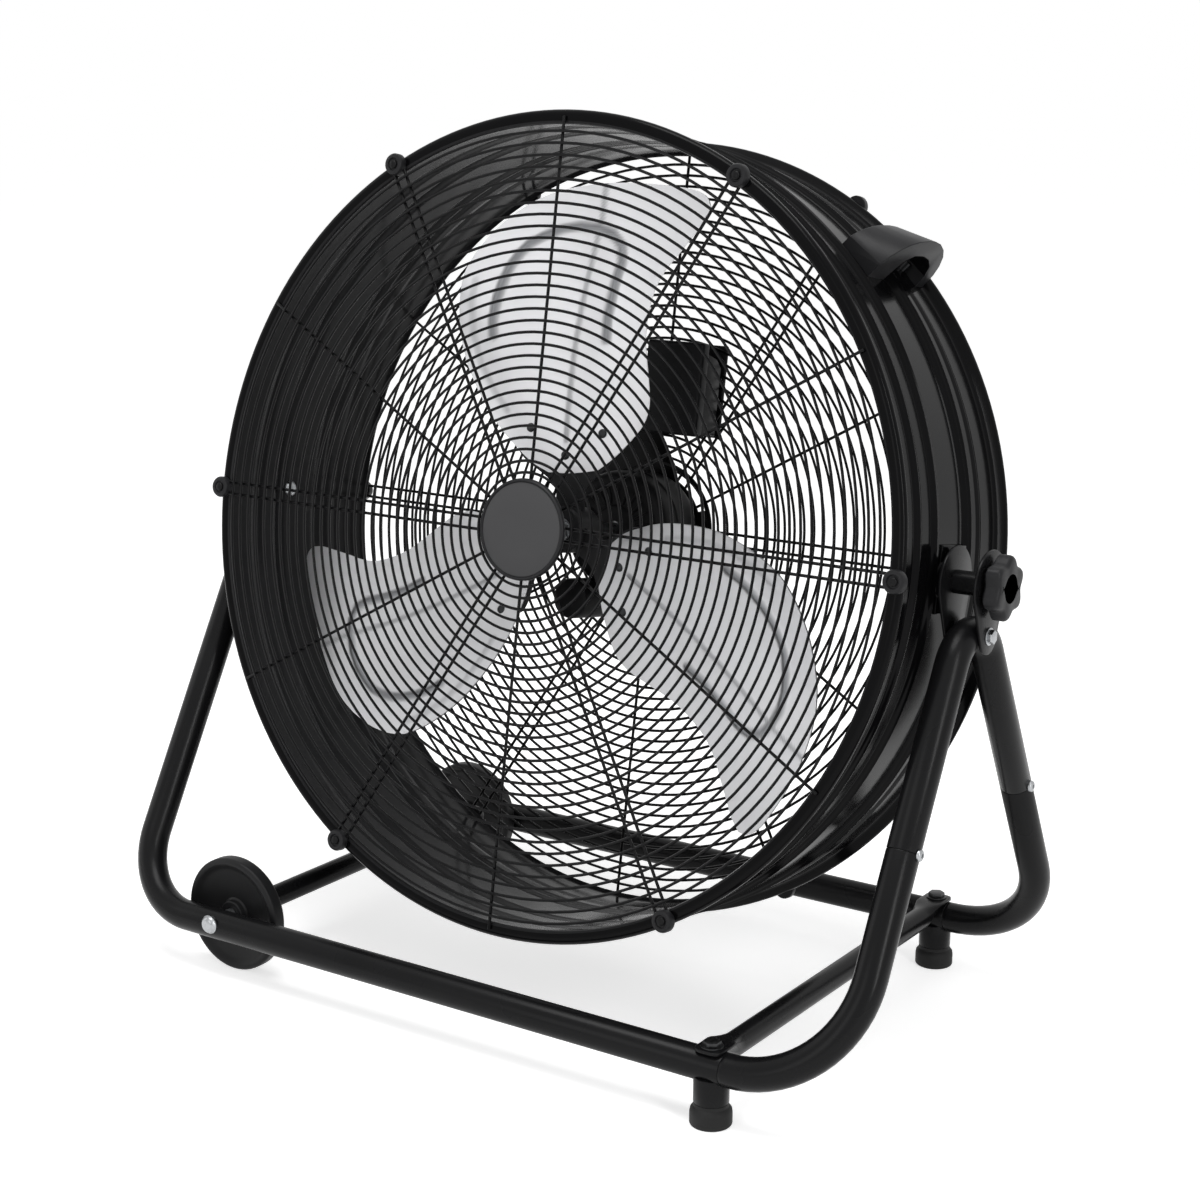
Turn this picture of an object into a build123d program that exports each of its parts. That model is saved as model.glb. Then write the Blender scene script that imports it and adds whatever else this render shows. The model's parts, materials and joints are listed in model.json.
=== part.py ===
from build123d import *
import os
from math import atan, cos, degrees, pi, radians, sin, tan

os.makedirs("parts", exist_ok=True)

# Drum fan in a tubular stand. Millimetres, Z up. The fan blows towards -Y and tips face-up about
# an axis along X. The origin is on the floor, under the tilt axis, midway between the two pivots.

# ---------------------------------------------------------------- driving dimensions
running_fit = 0.06              # radial play of a turning shaft in its hole
face_gap = 0.3                  # gap between flat faces that turn past each other
sink = 0.25                     # depth that a weld or a press fit bites into its seat

# stand
tube_radius = 12.7
tube_wall = 1.3
tube_sides = 12                 # flats used to draw a tube of the stand
tube_bore_sides = 6
leg_slope = 0.545               # outward run of a leg for each millimetre down
rail_height = 45.5
left_bend_radius = 65.0
right_bend_radius = 90.0
apex_bend_radius = 35.0
left_seam_depth = 66.0          # below the pivot
right_seam_depth = 180.0
rail_stub = 3.0                 # straight end of the right bend, up to the rail seam
plug_length = 40.0
short_plug_length = 10.0

# feet and cross bar
foot_setback = 12.0             # foot from the rail seam
foot_height = 18.0
foot_radius = 16.0
foot_waist_radius = 13.0
sleeve_radius = 13.5
foot_bolt_radius = 4.0
foot_bolt_head_radius = 7.0
foot_bolt_head_height = 4.0
cross_bar_radius = 9.5
cross_bar_height = 51.0
tab_width = 23.0
tab_thickness = 3.0
tab_gap = 2.0                   # flat part starts this far before the rail
tab_reach = 10.0                # and ends this far past the rail's middle
neck_length = 18.0

# wheels
axle_setback = 102.0            # axle from the left arms
axle_radius = 6.0
wheel_radius = 49.5
wheel_width = 14.0
wheel_hub_radius = 12.0
wheel_hub_length = 17.0
wheel_gap = 1.4                 # between a wheel and its rail
wheel_sides = 16
cap_nut_radius = 8.0
cap_nut_height = 5.0

# drum
pivot_height = 386.0
rest_tilt = 9.3                 # degrees face-up
shell_radius = 322.0
rim_reach = 8.0                 # rolled rims stand out from the shell by this
rim_lip = 4.0                   # and in from it by this
rim_width = 8.0
rim_slope = 11.0
shell_wall = 1.2
bead_rise = 4.0
bead_width = 9.0
front_bead_depth = 64.0         # behind the front rim's face
rear_bead_depth = 119.0
drum_depth = 186.0
drum_front = -80.0              # along the fan axis, from the pivot
drum_sides = 48                 # facets used to draw the rolled drum

# pivots
pivot_bolt_radius = 5.0
pivot_head_radius = 9.0
pivot_head_height = 4.9
pad_thickness = 4.0
pad_length = 42.0
pad_height = 52.0
pad_boss_radius = 14.0
pad_boss_length = 6.5
plate_thickness = 2.5
plate_top_radius = 27.0
plate_foot_radius = 14.0
spacer_radius = 9.0
washer_radius = 11.0
washer_thickness = 1.5
bracket_bolt_radius = 4.0
bracket_bolt_depth = 38.0       # below the pivot, through the top of the bent tube
bracket_head_radius = 8.0
bracket_head_height = 5.0
bracket_nut_height = 1.6

# tilt knobs
knob_radius = 24.5
knob_valley_radius = 20.0
knob_lobes = 6
knob_thickness = 14.0
knob_recess_radius = 9.5
knob_recess_depth = 4.5

# guards
wire_width = 2.4
wire_depth = 2.5
ring_first_radius = 36.0
ring_pitch = 9.2
ring_edge_gap = 3.0             # least gap between the last ring and the rim
ring_sides = 12                 # one side between each two radial wires
spoke_pair_gap = 10.0
spoke_inset = 6.0               # end of a single radial wire, in from the rim
clip_inset = 4.5                # clips' middle, in from the rim
clip_radius = 9.0
clip_height = 7.0
clip_screw_radius = 3.6
clip_screw_bite = 6.0
clip_count = 6
badge_radius = 40.5
badge_thickness = 4.6
badge_lip = 3.0
badge_recess = 0.8

# rotor
blade_count = 3
blade_angle = 91.0              # of the top blade, counted from +X towards +Z
blade_thickness = 1.3
blade_tip_gap = 31.8            # between a blade's outermost corner and the drum
blade_root = 45.0               # distance from the axis at which a blade starts
blade_rake = -0.023             # run to the rear for each millimetre outwards
blade_reach = 52.0              # distance from the axis at which the section below holds
blade_half_chord = 132.0
blade_pitch = 0.253             # run to the rear for each millimetre along the tangent
blade_bow = -13.1               # camber at the edges, against the middle
blade_set = -24.6               # middle of the section, along the fan axis
blade_strips = 4
# corners of a blade: shares of the half chord, along the tangent, and of the span, outwards
blade_outline = (
    (-0.144, 0), (0.167, 0.02), (0.273, 0.07), (0.379, 0.135), (0.447, 0.193), (0.47, 0.254),
    (0.455, 0.328), (0.432, 0.402), (0.417, 0.471), (0.424, 0.545), (0.455, 0.623),
    (0.515, 0.689), (0.598, 0.746), (0.674, 0.799), (0.742, 0.848), (0.78, 0.893), (0.75, 0.926),
    (0.659, 0.949), (0.5, 0.959), (0.333, 0.963), (0.152, 0.961), (0, 0.951), (-0.167, 0.93),
    (-0.311, 0.898), (-0.432, 0.855), (-0.538, 0.803), (-0.621, 0.75), (-0.689, 0.693),
    (-0.735, 0.635), (-0.75, 0.578), (-0.75, 0.512), (-0.731, 0.43), (-0.689, 0.348),
    (-0.625, 0.27), (-0.545, 0.197), (-0.455, 0.131), (-0.348, 0.074), (-0.25, 0.029),
)
shaft_radius = 6.0
shaft_front = -38.0
hub_radius = 19.0
hub_front = -32.0
hub_length = 30.0
arm_root_width = 28.0
arm_width = 80.0
arm_reach = 94.0
arm_shoulder = 24.0             # length of an arm's full-width end
arm_thickness = 2.5
rivet_radius = 3.5
first_rivet_reach = 60.0        # distance from the axis
second_rivet_reach = 80.0
rivet_spread = 30.0             # of the second row, to each side
rivet_shift = -6.0              # middle of the rivets, along the tangent
rivet_length = 8.0
hub_nut_radius = 9.5
hub_nut_height = 5.0

# motor
motor_radius = 76.0
motor_front = 44.0
motor_back = 103.5
motor_split = 70.0
motor_wall = 3.0
motor_sides = 16
bearing_radius = 16.0
bearing_length = 9.0
stator_length = 28.0
stator_radius = 68.0
air_gap = 0.8
rotor_core_radius = 36.0
mount_plate_radius = 62.0
motor_bolt_circle_radius = 48.0
motor_bolt_radius = 3.0
motor_bolt_head_radius = 4.5
motor_bolt_head_height = 2.1
motor_bolt_length = 12.0
capacitor_radius = 17.0
capacitor_length = 52.0
capacitor_angle = -112.0

# control box
box_width = 54.0
box_height = 78.0
box_depth = 34.0
box_wall = 2.0
box_drop = 3.0                  # box middle below the switch
cover_thickness = 3.0
switch_angle = 75.0             # midway between two radial wires
switch_ring = 10                # the switch shaft passes behind this ring and the next
switch_shaft_radius = 2.5
switch_body_size = 24.0
switch_body_depth = 20.0
speed_knob_radius = 15.0
speed_knob_height = 14.0
gland_radius = 7.0
gland_bore_radius = 4.0
gland_height = 12.0
cover_screw_radius = 3.0
cover_screw_height = 2.0

# handle
handle_angle = 46.0             # round the drum, from +X towards +Z
handle_width = 34.0
handle_rise = 44.0              # grip's top above the drum shell
handle_front = 0.0              # along the fan axis
handle_back = 100.0
handle_foot_length = 26.0
handle_rear_foot = 74.0
handle_rear_foot_length = 12.0
grip_height = 17.0
handle_screw_radius = 2.5
handle_screw_head_radius = 5.0

# ---------------------------------------------------------------- worked-out values
drum_back = drum_front + drum_depth
rim_radius = shell_radius + rim_reach
rim_inner_radius = shell_radius - rim_lip
front_bead_y = drum_front + front_bead_depth
rear_bead_y = drum_front + rear_bead_depth
pad_middle_y = (front_bead_y + rear_bead_y) / 2
rail_depth = pivot_height - rail_height
pad_face = shell_radius + pad_thickness
inner_plate_face = pad_face + pad_boss_length + face_gap
tube_offset_x = inner_plate_face + plate_thickness + tube_radius
outer_plate_face = tube_offset_x + tube_radius + plate_thickness
rail_seam_x = tube_offset_x - right_bend_radius - rail_stub
foot_x = rail_seam_x - foot_setback
axle_x = axle_setback - tube_offset_x
knob_back_face = outer_plate_face + washer_thickness + face_gap
rail_offset_y = leg_slope * rail_depth
tab_top = rail_height + tube_radius - sink + tab_thickness
drum_bore_flat = (shell_radius - shell_wall) * cos(pi / drum_sides)
wheel_middle_y = rail_offset_y - tube_radius - wheel_gap - wheel_width / 2
tube_bore_radius = tube_radius - tube_wall
ring_count = 1 + int((rim_inner_radius - ring_edge_gap - ring_first_radius) / ring_pitch)
single_spoke_reach = rim_radius - spoke_inset
clip_circle_radius = rim_radius - clip_inset
blade_tip_radius = shell_radius - shell_wall - blade_tip_gap
blade_span = blade_tip_radius - blade_root


# ---------------------------------------------------------------- helpers
def on_drum(shape):
    """Move a piece from the drum's own frame, fan axis along Y, to its place in the stand."""
    return Location((0, 0, pivot_height), (-rest_tilt, 0, 0)) * shape


def along_y(shape):
    """Lay a piece that was made round Z along the fan axis."""
    return Rot(X=-90) * shape


def along_x(shape, side=1):
    """Lay a piece that was made round Z along the pivot axis, growing outwards."""
    return Rot(Y=90 * side) * shape


def bar(radius, low, high, sides=12):
    """Straight bar round Z from low to high."""
    return Pos(0, 0, low) * extrude(RegularPolygon(radius, sides), high - low)


def hole(radius, low, high, sides=8):
    """Cutter for a hole whose flats lie on the radius."""
    return bar(flat_radius(radius, sides), low, high, sides)


def rod(radius, low, high):
    """Round rod round Z from low to high, for what turns in a bearing or a bracket."""
    return Pos(0, 0, low) * extrude(Circle(radius), high - low)


def flat_radius(radius, sides):
    """Radius whose flats, not corners, lie at the given radius."""
    return radius / cos(pi / sides)


def facet_ring(section, sides, turn=0.0):
    """Ring round Z with flat facets; section lists (radius, height) and corners lie on its radii."""
    middle = sum(radius for radius, height in section) / len(section)
    path = RegularPolygon(middle, sides, rotation=turn).face().outer_wire()
    start = path @ 0
    forward = path % 0
    outward = Vector(forward.Y, -forward.X, 0)
    if outward.dot(start) < 0:
        outward = -outward
    plane = Plane(origin=start, x_dir=outward, z_dir=forward)
    flat = cos(pi / sides)
    up = plane.y_dir.Z
    points = [((radius - middle) * flat, height * up) for radius, height in section]
    face = make_face(Polyline(*points, close=True).edges())
    return sweep(plane * face, path=path, transition=Transition.RIGHT)


def round_about_y(shape, count, first=0.0):
    """Copies of a piece spread evenly round the fan axis, from +X towards +Z."""
    return [Rot(Y=-(first + 360.0 * i / count)) * shape for i in range(count)]


def mirrored_pair(shape, plane):
    """A piece and its mirror image."""
    return [shape, mirror(shape, about=plane)]


def bent_tube(points):
    """Tube of the stand along a flat run of points, with mitred bends."""
    path = Polyline(*points)
    plane = Plane(origin=path @ 0, z_dir=path % 0)
    outer = sweep(plane * RegularPolygon(tube_radius, tube_sides), path=path,
                  transition=Transition.RIGHT)
    inner = sweep(plane * RegularPolygon(tube_bore_radius, tube_bore_sides), path=path,
                  transition=Transition.RIGHT)
    return outer - inner


def corner_points(corner, start, end, radius, steps):
    """Points of a rounded corner, in a plane, between the directions to start and end."""
    to_start = (Vector(*start) - Vector(*corner)).normalized()
    to_end = (Vector(*end) - Vector(*corner)).normalized()
    turn = pi - to_start.get_angle(to_end) * pi / 180
    reach = radius * tan(turn / 2)
    centre = Vector(*corner) + (to_start + to_end).normalized() * (radius / cos(turn / 2))
    first = Vector(*corner) + to_start * reach - centre
    last = Vector(*corner) + to_end * reach - centre
    points = []
    for i in range(steps + 1):
        share = turn * i / steps
        arm = (first * sin(turn - share) + last * sin(share)) * (1 / sin(turn))
        points.append(centre + arm)
    return points


def loop_point(x, depth, side):
    """Point on the stand's front (side -1) or rear (side 1) loop, at a depth below the pivot."""
    return (x, side * leg_slope * depth, pivot_height - depth)


# ---------------------------------------------------------------- stand
def foot_hole(side):
    """Cutter for a foot bolt."""
    return Pos(foot_x, side * rail_offset_y, 0) * hole(foot_bolt_radius, 0, pivot_height)


def axle_hole():
    """Cutter for the axle."""
    return Pos(axle_x, 0, wheel_radius) * along_y(hole(axle_radius, -pivot_height, pivot_height))


def base_tube(side):
    """Left arm, left bend and rail in one piece."""
    top = loop_point(-tube_offset_x, left_seam_depth, side)
    corner = loop_point(-tube_offset_x, rail_depth, side)
    end = loop_point(rail_seam_x, rail_depth, side)
    bend = corner_points(corner, top, end, left_bend_radius, 4)
    return bent_tube([top, *bend, end]) - foot_hole(side) - axle_hole()


def corner_tube(side):
    """Right leg below its seam, right bend and the stub of the rail."""
    top = loop_point(tube_offset_x, right_seam_depth, side)
    corner = loop_point(tube_offset_x, rail_depth, side)
    end = loop_point(rail_seam_x, rail_depth, side)
    bend = corner_points(corner, top, end, right_bend_radius, 5)
    return bent_tube([top, *bend, end])


def v_tube(x, seam_depth):
    """Inverted V that carries a pivot bracket."""
    front = loop_point(x, seam_depth, -1)
    rear = loop_point(x, seam_depth, 1)
    bend = corner_points((x, 0, pivot_height), front, rear, apex_bend_radius, 5)
    bolt_hole = Pos(0, 0, pivot_height - bracket_bolt_depth) * along_x(
        hole(bracket_bolt_radius, -2 * tube_offset_x, 2 * tube_offset_x))
    return bent_tube([front, *bend, rear]) - bolt_hole


def joint_plugs():
    """Plugs inside the seams of the legs and rails."""
    plugs = []
    seams = ((tube_offset_x, right_seam_depth, -plug_length / 2, plug_length / 2),
             (-tube_offset_x, left_seam_depth, -short_plug_length / 2, plug_length / 2),
             (rail_seam_x, rail_depth, -short_plug_length * 0.7, short_plug_length * 0.2))
    for side in (-1, 1):
        down = (0, side * leg_slope, -1)
        across = (0, 1, side * leg_slope)
        for x, depth, low, high in seams:
            along = (1, 0, 0) if depth == rail_depth else down
            plane = Plane(origin=loop_point(x, depth, side), x_dir=across, z_dir=along)
            plugs.append(plane * bar(tube_bore_radius, low, high, tube_bore_sides))
    return plugs


def seam_screws():
    """Screws that hold the leg seams, on the outer side."""
    screws = []
    for side in (-1, 1):
        x, y, z = loop_point(tube_offset_x, right_seam_depth, side)
        head = bar(4.5, tube_radius - 2 * sink, tube_radius + 2.5, 8)
        shank = bar(2.0, tube_radius - 6.0, tube_radius, 6)
        screws.append(Pos(x, y, z) * along_x(head + shank))
    return screws


def pressed_end():
    """End of the cross bar, pressed from round to flat, towards +Y from the bar's middle."""
    flat = rail_offset_y - tube_radius - tab_gap
    neck = flat - neck_length
    end = rail_offset_y + tab_reach
    under = tab_top - tab_thickness
    wide = cross_bar_radius * 0.9
    side_view = Polyline((neck, cross_bar_height - wide), (neck, cross_bar_height + wide),
                         (flat, tab_top), (end, tab_top), (end, under), (flat, under), close=True)
    plan = Polyline((-wide, neck), (-tab_width / 2, flat), (-tab_width / 2, end), (tab_width / 2, end),
                    (tab_width / 2, flat), (wide, neck), close=True)
    across = Plane(origin=(foot_x, 0, 0), x_dir=(0, 1, 0), z_dir=(1, 0, 0))
    wedge = extrude(across * make_face(side_view.edges()), tab_width, both=True)
    return wedge & Pos(foot_x, 0, 0) * extrude(make_face(plan.edges()), 2 * tab_top)


def cross_bar():
    """Bar between the rails on the right; its ends lie on the rails."""
    neck = rail_offset_y - tube_radius - tab_gap - neck_length
    tube = bar(cross_bar_radius, -neck, neck)
    tube -= bar(cross_bar_radius - tube_wall, -neck - 1, neck + 1)
    piece = Pos(foot_x, 0, cross_bar_height) * along_y(tube)
    for end in mirrored_pair(pressed_end() - foot_hole(1), Plane.XZ):
        piece += end
    return piece


def foot_bolts():
    """Bolts down through the tabs and the rails into the feet."""
    bolt = bar(foot_bolt_radius, foot_height - 6.0, tab_top, 8)
    bolt += bar(foot_bolt_head_radius, tab_top, tab_top + foot_bolt_head_height, 6)
    return [Pos(foot_x, side * rail_offset_y, 0) * bolt for side in (-1, 1)]


def foot_sleeves():
    """Sleeves between the rails and the rubber feet."""
    top = rail_height - tube_radius * 0.8
    sleeve = bar(sleeve_radius, foot_height, top) - hole(foot_bolt_radius, 0, top)
    pieces = []
    for side in (-1, 1):
        seat = Pos(foot_x, side * rail_offset_y, rail_height) * Rot(Y=90) * bar(
            tube_radius - sink, -50, 50, tube_sides)
        pieces.append(Pos(foot_x, side * rail_offset_y, 0) * sleeve - seat)
    return pieces


def rubber_feet():
    """Rubber feet, waisted under the sleeve."""
    foot = bar(foot_radius, 0, foot_height - 4.0)
    foot += bar(foot_waist_radius, foot_height - 4.0, foot_height)
    return [Pos(foot_x, side * rail_offset_y, 0) * foot for side in (-1, 1)]


# ---------------------------------------------------------------- wheels
def wheel(side):
    """Dished disc wheel with a hub, its dish facing outwards."""
    half = wheel_width / 2
    lip = wheel_radius - 5.5
    dish = wheel_radius - 9.5
    hub = wheel_hub_radius
    bore = flat_radius(axle_radius + running_fit, wheel_sides)
    inner = half - wheel_hub_length
    section = [(bore, half), (hub, half), (hub + 2.0, 1.0), (dish, 3.5), (lip, half),
               (wheel_radius, half), (wheel_radius, -half), (lip, -half), (dish, -0.5),
               (hub + 2.0, -3.0), (hub, inner), (bore, inner)]
    place = Pos(axle_x, side * wheel_middle_y, wheel_radius)
    turned = facet_ring(section, wheel_sides)
    if side < 0:
        turned = mirror(turned, about=Plane.XY)
    return place * along_y(turned)


def axle():
    """Axle through both rails."""
    reach = rail_offset_y + tube_radius
    return Pos(axle_x, 0, wheel_radius) * along_y(rod(axle_radius, -reach, reach))


def axle_tube():
    """Tube round the axle that keeps the wheels apart."""
    inner = wheel_middle_y + wheel_width / 2 - wheel_hub_length - face_gap
    section = [(flat_radius(axle_radius, 12), -inner), (cross_bar_radius, -inner),
               (cross_bar_radius, inner), (flat_radius(axle_radius, 12), inner)]
    return Pos(axle_x, 0, wheel_radius) * along_y(facet_ring(section, 12))


def axle_cap_nuts():
    """Domed nuts on the axle's ends."""
    low = rail_offset_y + tube_radius - 1.0
    body = bar(cap_nut_radius, low, low + cap_nut_height * 0.6)
    cap = Pos(0, 0, low + cap_nut_height * 0.6) * extrude(
        RegularPolygon(cap_nut_radius, 12), cap_nut_height * 0.4, taper=45)
    nut = Pos(axle_x, 0, wheel_radius) * along_y(body + cap)
    return mirrored_pair(nut, Plane.XZ)


# ---------------------------------------------------------------- pivots
def plate_outline():
    """Outline of a bracket plate: round about the pivot, narrowing to the bolt below."""
    points = []
    lean = degrees(atan((plate_top_radius - plate_foot_radius) / bracket_bolt_depth))
    for i in range(8):
        angle = radians(-lean + (180.0 + 2 * lean) * i / 7)
        points.append((plate_top_radius * cos(angle), plate_top_radius * sin(angle)))
    for i in range(5):
        angle = radians(180.0 + lean + (180.0 - 2 * lean) * i / 4)
        points.append((plate_foot_radius * cos(angle),
                       plate_foot_radius * sin(angle) - bracket_bolt_depth))
    return make_face(Polyline(*points, close=True).edges())


def bracket_plates():
    """Two plates at each side, one on either side of the bent tube."""
    pivot_hole = RegularPolygon(flat_radius(pivot_bolt_radius + running_fit, 10), 10)
    bolt_hole = Pos(0, -bracket_bolt_depth) * RegularPolygon(flat_radius(bracket_bolt_radius, 6), 6)
    flat = plate_outline() - pivot_hole - bolt_hole
    pieces = []
    for side in (-1, 1):
        for face in (inner_plate_face, outer_plate_face - plate_thickness):
            low = face if side > 0 else -face - plate_thickness
            plane = Plane(origin=(low, 0, pivot_height), x_dir=(0, 1, 0), z_dir=(1, 0, 0))
            pieces.append(extrude(plane * flat, plate_thickness))
    return pieces


def at_pivot(shape, side):
    """Put a piece made round Z on the pivot axis at one side, on the stand."""
    return Pos(0, 0, pivot_height) * along_x(shape, side)


def bracket_spacers():
    """Tubes round the pivot bolts between the bracket plates."""
    low = inner_plate_face + plate_thickness
    high = outer_plate_face - plate_thickness
    bore = flat_radius(pivot_bolt_radius + face_gap, 10)
    section = [(bore, low), (spacer_radius, low), (spacer_radius, high), (bore, high)]
    return [at_pivot(facet_ring(section, 10), side) for side in (-1, 1)]


def pivot_washers():
    """Washers under the knobs."""
    bore = flat_radius(pivot_bolt_radius + face_gap, 10)
    low = outer_plate_face
    high = outer_plate_face + washer_thickness
    section = [(bore, low), (washer_radius, low), (washer_radius, high), (bore, high)]
    return [at_pivot(facet_ring(section, 10), side) for side in (-1, 1)]


def bracket_bolts():
    """Bolts through the plates and the top of each bent tube."""
    inner = inner_plate_face - bracket_nut_height
    bolt = bar(bracket_bolt_radius, inner, outer_plate_face, 6)
    bolt += bar(bracket_head_radius, outer_plate_face, outer_plate_face + bracket_head_height, 8)
    bolt += bar(bracket_head_radius, inner, inner_plate_face, 8)
    down = Pos(0, 0, -bracket_bolt_depth)
    return [down * at_pivot(bolt, side) for side in (-1, 1)]


def pivot_bolts():
    """Bolts from inside the drum out through the brackets to the knobs."""
    tip = knob_back_face + knob_thickness - knob_recess_depth - 1.0
    bolt = bar(pivot_bolt_radius, drum_bore_flat, tip, 16)
    bolt += bar(pivot_head_radius, drum_bore_flat - pivot_head_height, drum_bore_flat)
    return [on_drum(along_x(bolt, side)) for side in (-1, 1)]


def pivot_pads():
    """Plates riveted to the drum, each with a boss that runs on its bracket."""
    low = shell_radius - 6.0
    pieces = []
    for side in (-1, 1):
        flat = Box(pad_face - low, pad_length, pad_height)
        flat = Pos(side * (low + pad_face) / 2, pad_middle_y, 0) * flat
        boss = along_x(bar(pad_boss_radius, pad_face, inner_plate_face - face_gap, 16), side)
        pad = flat + boss - drum_core()
        pad -= along_x(hole(pivot_bolt_radius, 0, pivot_height, 10), side)
        pieces.append(on_drum(pad))
    return pieces


def pad_rivets():
    """Rivets through the pads and the drum."""
    pieces = []
    y = pad_middle_y + pad_length / 2 - 8.0
    for side in (-1, 1):
        for z in (-17.0, 17.0):
            rivet = bar(4.0, shell_radius - 2.0, pad_face + 1.6, 6)
            pieces.append(on_drum(Pos(0, y, z) * along_x(rivet, side)))
    return pieces


# ---------------------------------------------------------------- tilt knobs
def tilt_knob(side):
    """Lobed hand knob on the end of a pivot bolt."""
    points = []
    step = 360.0 / knob_lobes
    for i in range(knob_lobes):
        for share in (-0.2, 0.2):
            angle = radians(step * (i + share))
            points.append((knob_radius * cos(angle), knob_radius * sin(angle)))
        angle = radians(step * (i + 0.5))
        points.append((knob_valley_radius * cos(angle), knob_valley_radius * sin(angle)))
    outline = make_face(Polyline(*points, close=True).edges())
    top = knob_back_face + knob_thickness
    lobes = Pos(0, 0, knob_back_face + 2.0) * extrude(outline, knob_thickness - 2.0)
    collar = bar(knob_valley_radius * 0.8, knob_back_face, knob_back_face + 2.0)
    knob = lobes + collar - bar(knob_recess_radius, top - knob_recess_depth, top + 1, 10)
    knob -= hole(pivot_bolt_radius + running_fit, 0, top, 10)
    return on_drum(along_x(knob, side))


# ---------------------------------------------------------------- drum
def bead(y):
    """Outer points of a raised bead round the drum, front to back."""
    return [(shell_radius, y - bead_width / 2), (shell_radius + bead_rise, y),
            (shell_radius, y + bead_width / 2)]


def drum_core():
    """Solid as wide as the drum's wall, used to cut the seats of what sits on it."""
    return along_y(facet_bar(shell_radius, -drum_depth, drum_depth))


def facet_bar(radius, low, high):
    """Straight bar with the drum's own facets."""
    flat = RegularPolygon(radius, drum_sides, rotation=180.0 / drum_sides)
    return Pos(0, 0, low) * extrude(flat, high - low)


def drum_shell():
    """Rolled drum with a rim at each end and two raised beads, open at both ends."""
    front = drum_front + rim_width
    back = drum_back - rim_width
    wall = shell_radius - shell_wall
    section = [(rim_inner_radius, drum_front), (rim_radius, drum_front), (rim_radius, front),
               (shell_radius, front + rim_slope), *bead(front_bead_y), *bead(rear_bead_y),
               (shell_radius, back - rim_slope), (rim_radius, back), (rim_radius, drum_back),
               (rim_inner_radius, drum_back), (wall, back - rim_slope), (wall, front + rim_slope)]
    shell = along_y(facet_ring(section, drum_sides, 180.0 / drum_sides))
    shell -= along_x(hole(pivot_bolt_radius, -rim_radius, rim_radius))
    for y in handle_screw_places():
        shell -= Rot(Y=-handle_angle) * Pos(0, y, 0) * along_x(
            hole(handle_screw_radius, shell_radius - 10, rim_radius, 6))
    return on_drum(shell)


# ---------------------------------------------------------------- guards
def ring_radius(index):
    return ring_first_radius + index * ring_pitch


def guard_rings(face, outward):
    """Concentric wires; face is the plane of the radial wires' outer side."""
    rings = []
    for index in range(ring_count):
        radius = ring_radius(index)
        half = wire_width / 2
        back = face - outward * sink
        tip = face + outward * (wire_depth - sink)
        ring = facet_ring([(radius - half, back), (radius, tip), (radius + half, back)], ring_sides)
        rings.append(on_drum(along_y(ring)))
    return rings


def guard_spokes(seat, outward):
    """Radial wires on the rim: pairs to the clips and single ones between them."""
    middle = seat + outward * wire_depth / 2
    inner = ring_first_radius - 2.0
    pair_reach = clip_circle_radius
    pair = []
    for side in (-1, 1):
        length = pair_reach - inner
        wire = Box(length, wire_depth, wire_width)
        pair.append(Pos(inner + length / 2, middle, side * spoke_pair_gap / 2) * wire)
    length = single_spoke_reach - inner
    single = Pos(inner + length / 2, middle, 0) * Box(length, wire_depth, wire_width)
    wires = []
    for wire in pair:
        wires += round_about_y(wire, clip_count)
    wires += round_about_y(single, clip_count, first=180.0 / clip_count)
    return [on_drum(wire) for wire in wires]


def guard_clips(seat, outward):
    """Round clips that hold the wire pairs to the rim."""
    low = min(seat, seat + outward * clip_height)
    clip = Pos(clip_circle_radius, 0, 0) * along_y(bar(clip_radius, low, low + clip_height, 8))
    return [on_drum(piece) for piece in round_about_y(clip, clip_count)]


def clip_screws(seat, outward):
    """Screws through the clips into the rims."""
    start = seat - outward * clip_screw_bite
    end = seat + outward * (clip_height + 1.2)
    screw = Pos(clip_circle_radius, 0, 0) * along_y(
        bar(clip_screw_radius, min(start, end), max(start, end), 6))
    return [on_drum(piece) for piece in round_about_y(screw, clip_count)]


def front_badge():
    """Plain disc with a raised lip over the middle of the front guard."""
    back = drum_front - 2 * wire_depth + 2 * sink
    front = back - badge_thickness
    disc = bar(badge_radius, front, back, 24)
    disc -= bar(badge_radius - badge_lip, front - 1, front + badge_recess, 24)
    return on_drum(along_y(disc))


# ---------------------------------------------------------------- rotor
def blade_depth(x):
    """Axial place of a blade's front face at a tangential place x, at the blade's reach."""
    return blade_bow * (x / blade_half_chord) ** 2 + blade_pitch * x + blade_set


def sheet(width, thickness, setback=0.0):
    """Cambered sheet of flat strips that runs outwards from the axis with the blades' rake."""
    places = [width * (0.5 - i / blade_strips) for i in range(blade_strips + 1)]
    shift = setback - blade_rake * blade_reach
    front = [(x, blade_depth(x) + shift) for x in places]
    back = [(x, y + thickness) for x, y in reversed(front)]
    outwards = Vector(0, blade_rake, 1)
    section = make_face(Polyline(*front, *back, close=True).edges())
    return extrude(section, blade_tip_radius * outwards.length * 1.05, dir=outwards)


def outward_cutter(points):
    """Prism along the fan axis over an outline with X along the tangent and Y outwards."""
    behind = Plane(origin=(0, drum_back, 0), x_dir=(1, 0, 0), z_dir=(0, -1, 0))
    return extrude(behind * make_face(Polyline(*points, close=True).edges()), drum_depth)


def blade():
    """One pressed blade standing up along Z, cut from its sheet along the outline."""
    points = [(x * blade_half_chord, blade_root + share * blade_span) for x, share in blade_outline]
    return sheet(2 * blade_half_chord, blade_thickness) & outward_cutter(points)


def blade_place(index):
    """Turn a piece from standing up to the place of one blade."""
    return Rot(Y=90.0 - blade_angle - 360.0 * index / blade_count)


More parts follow.
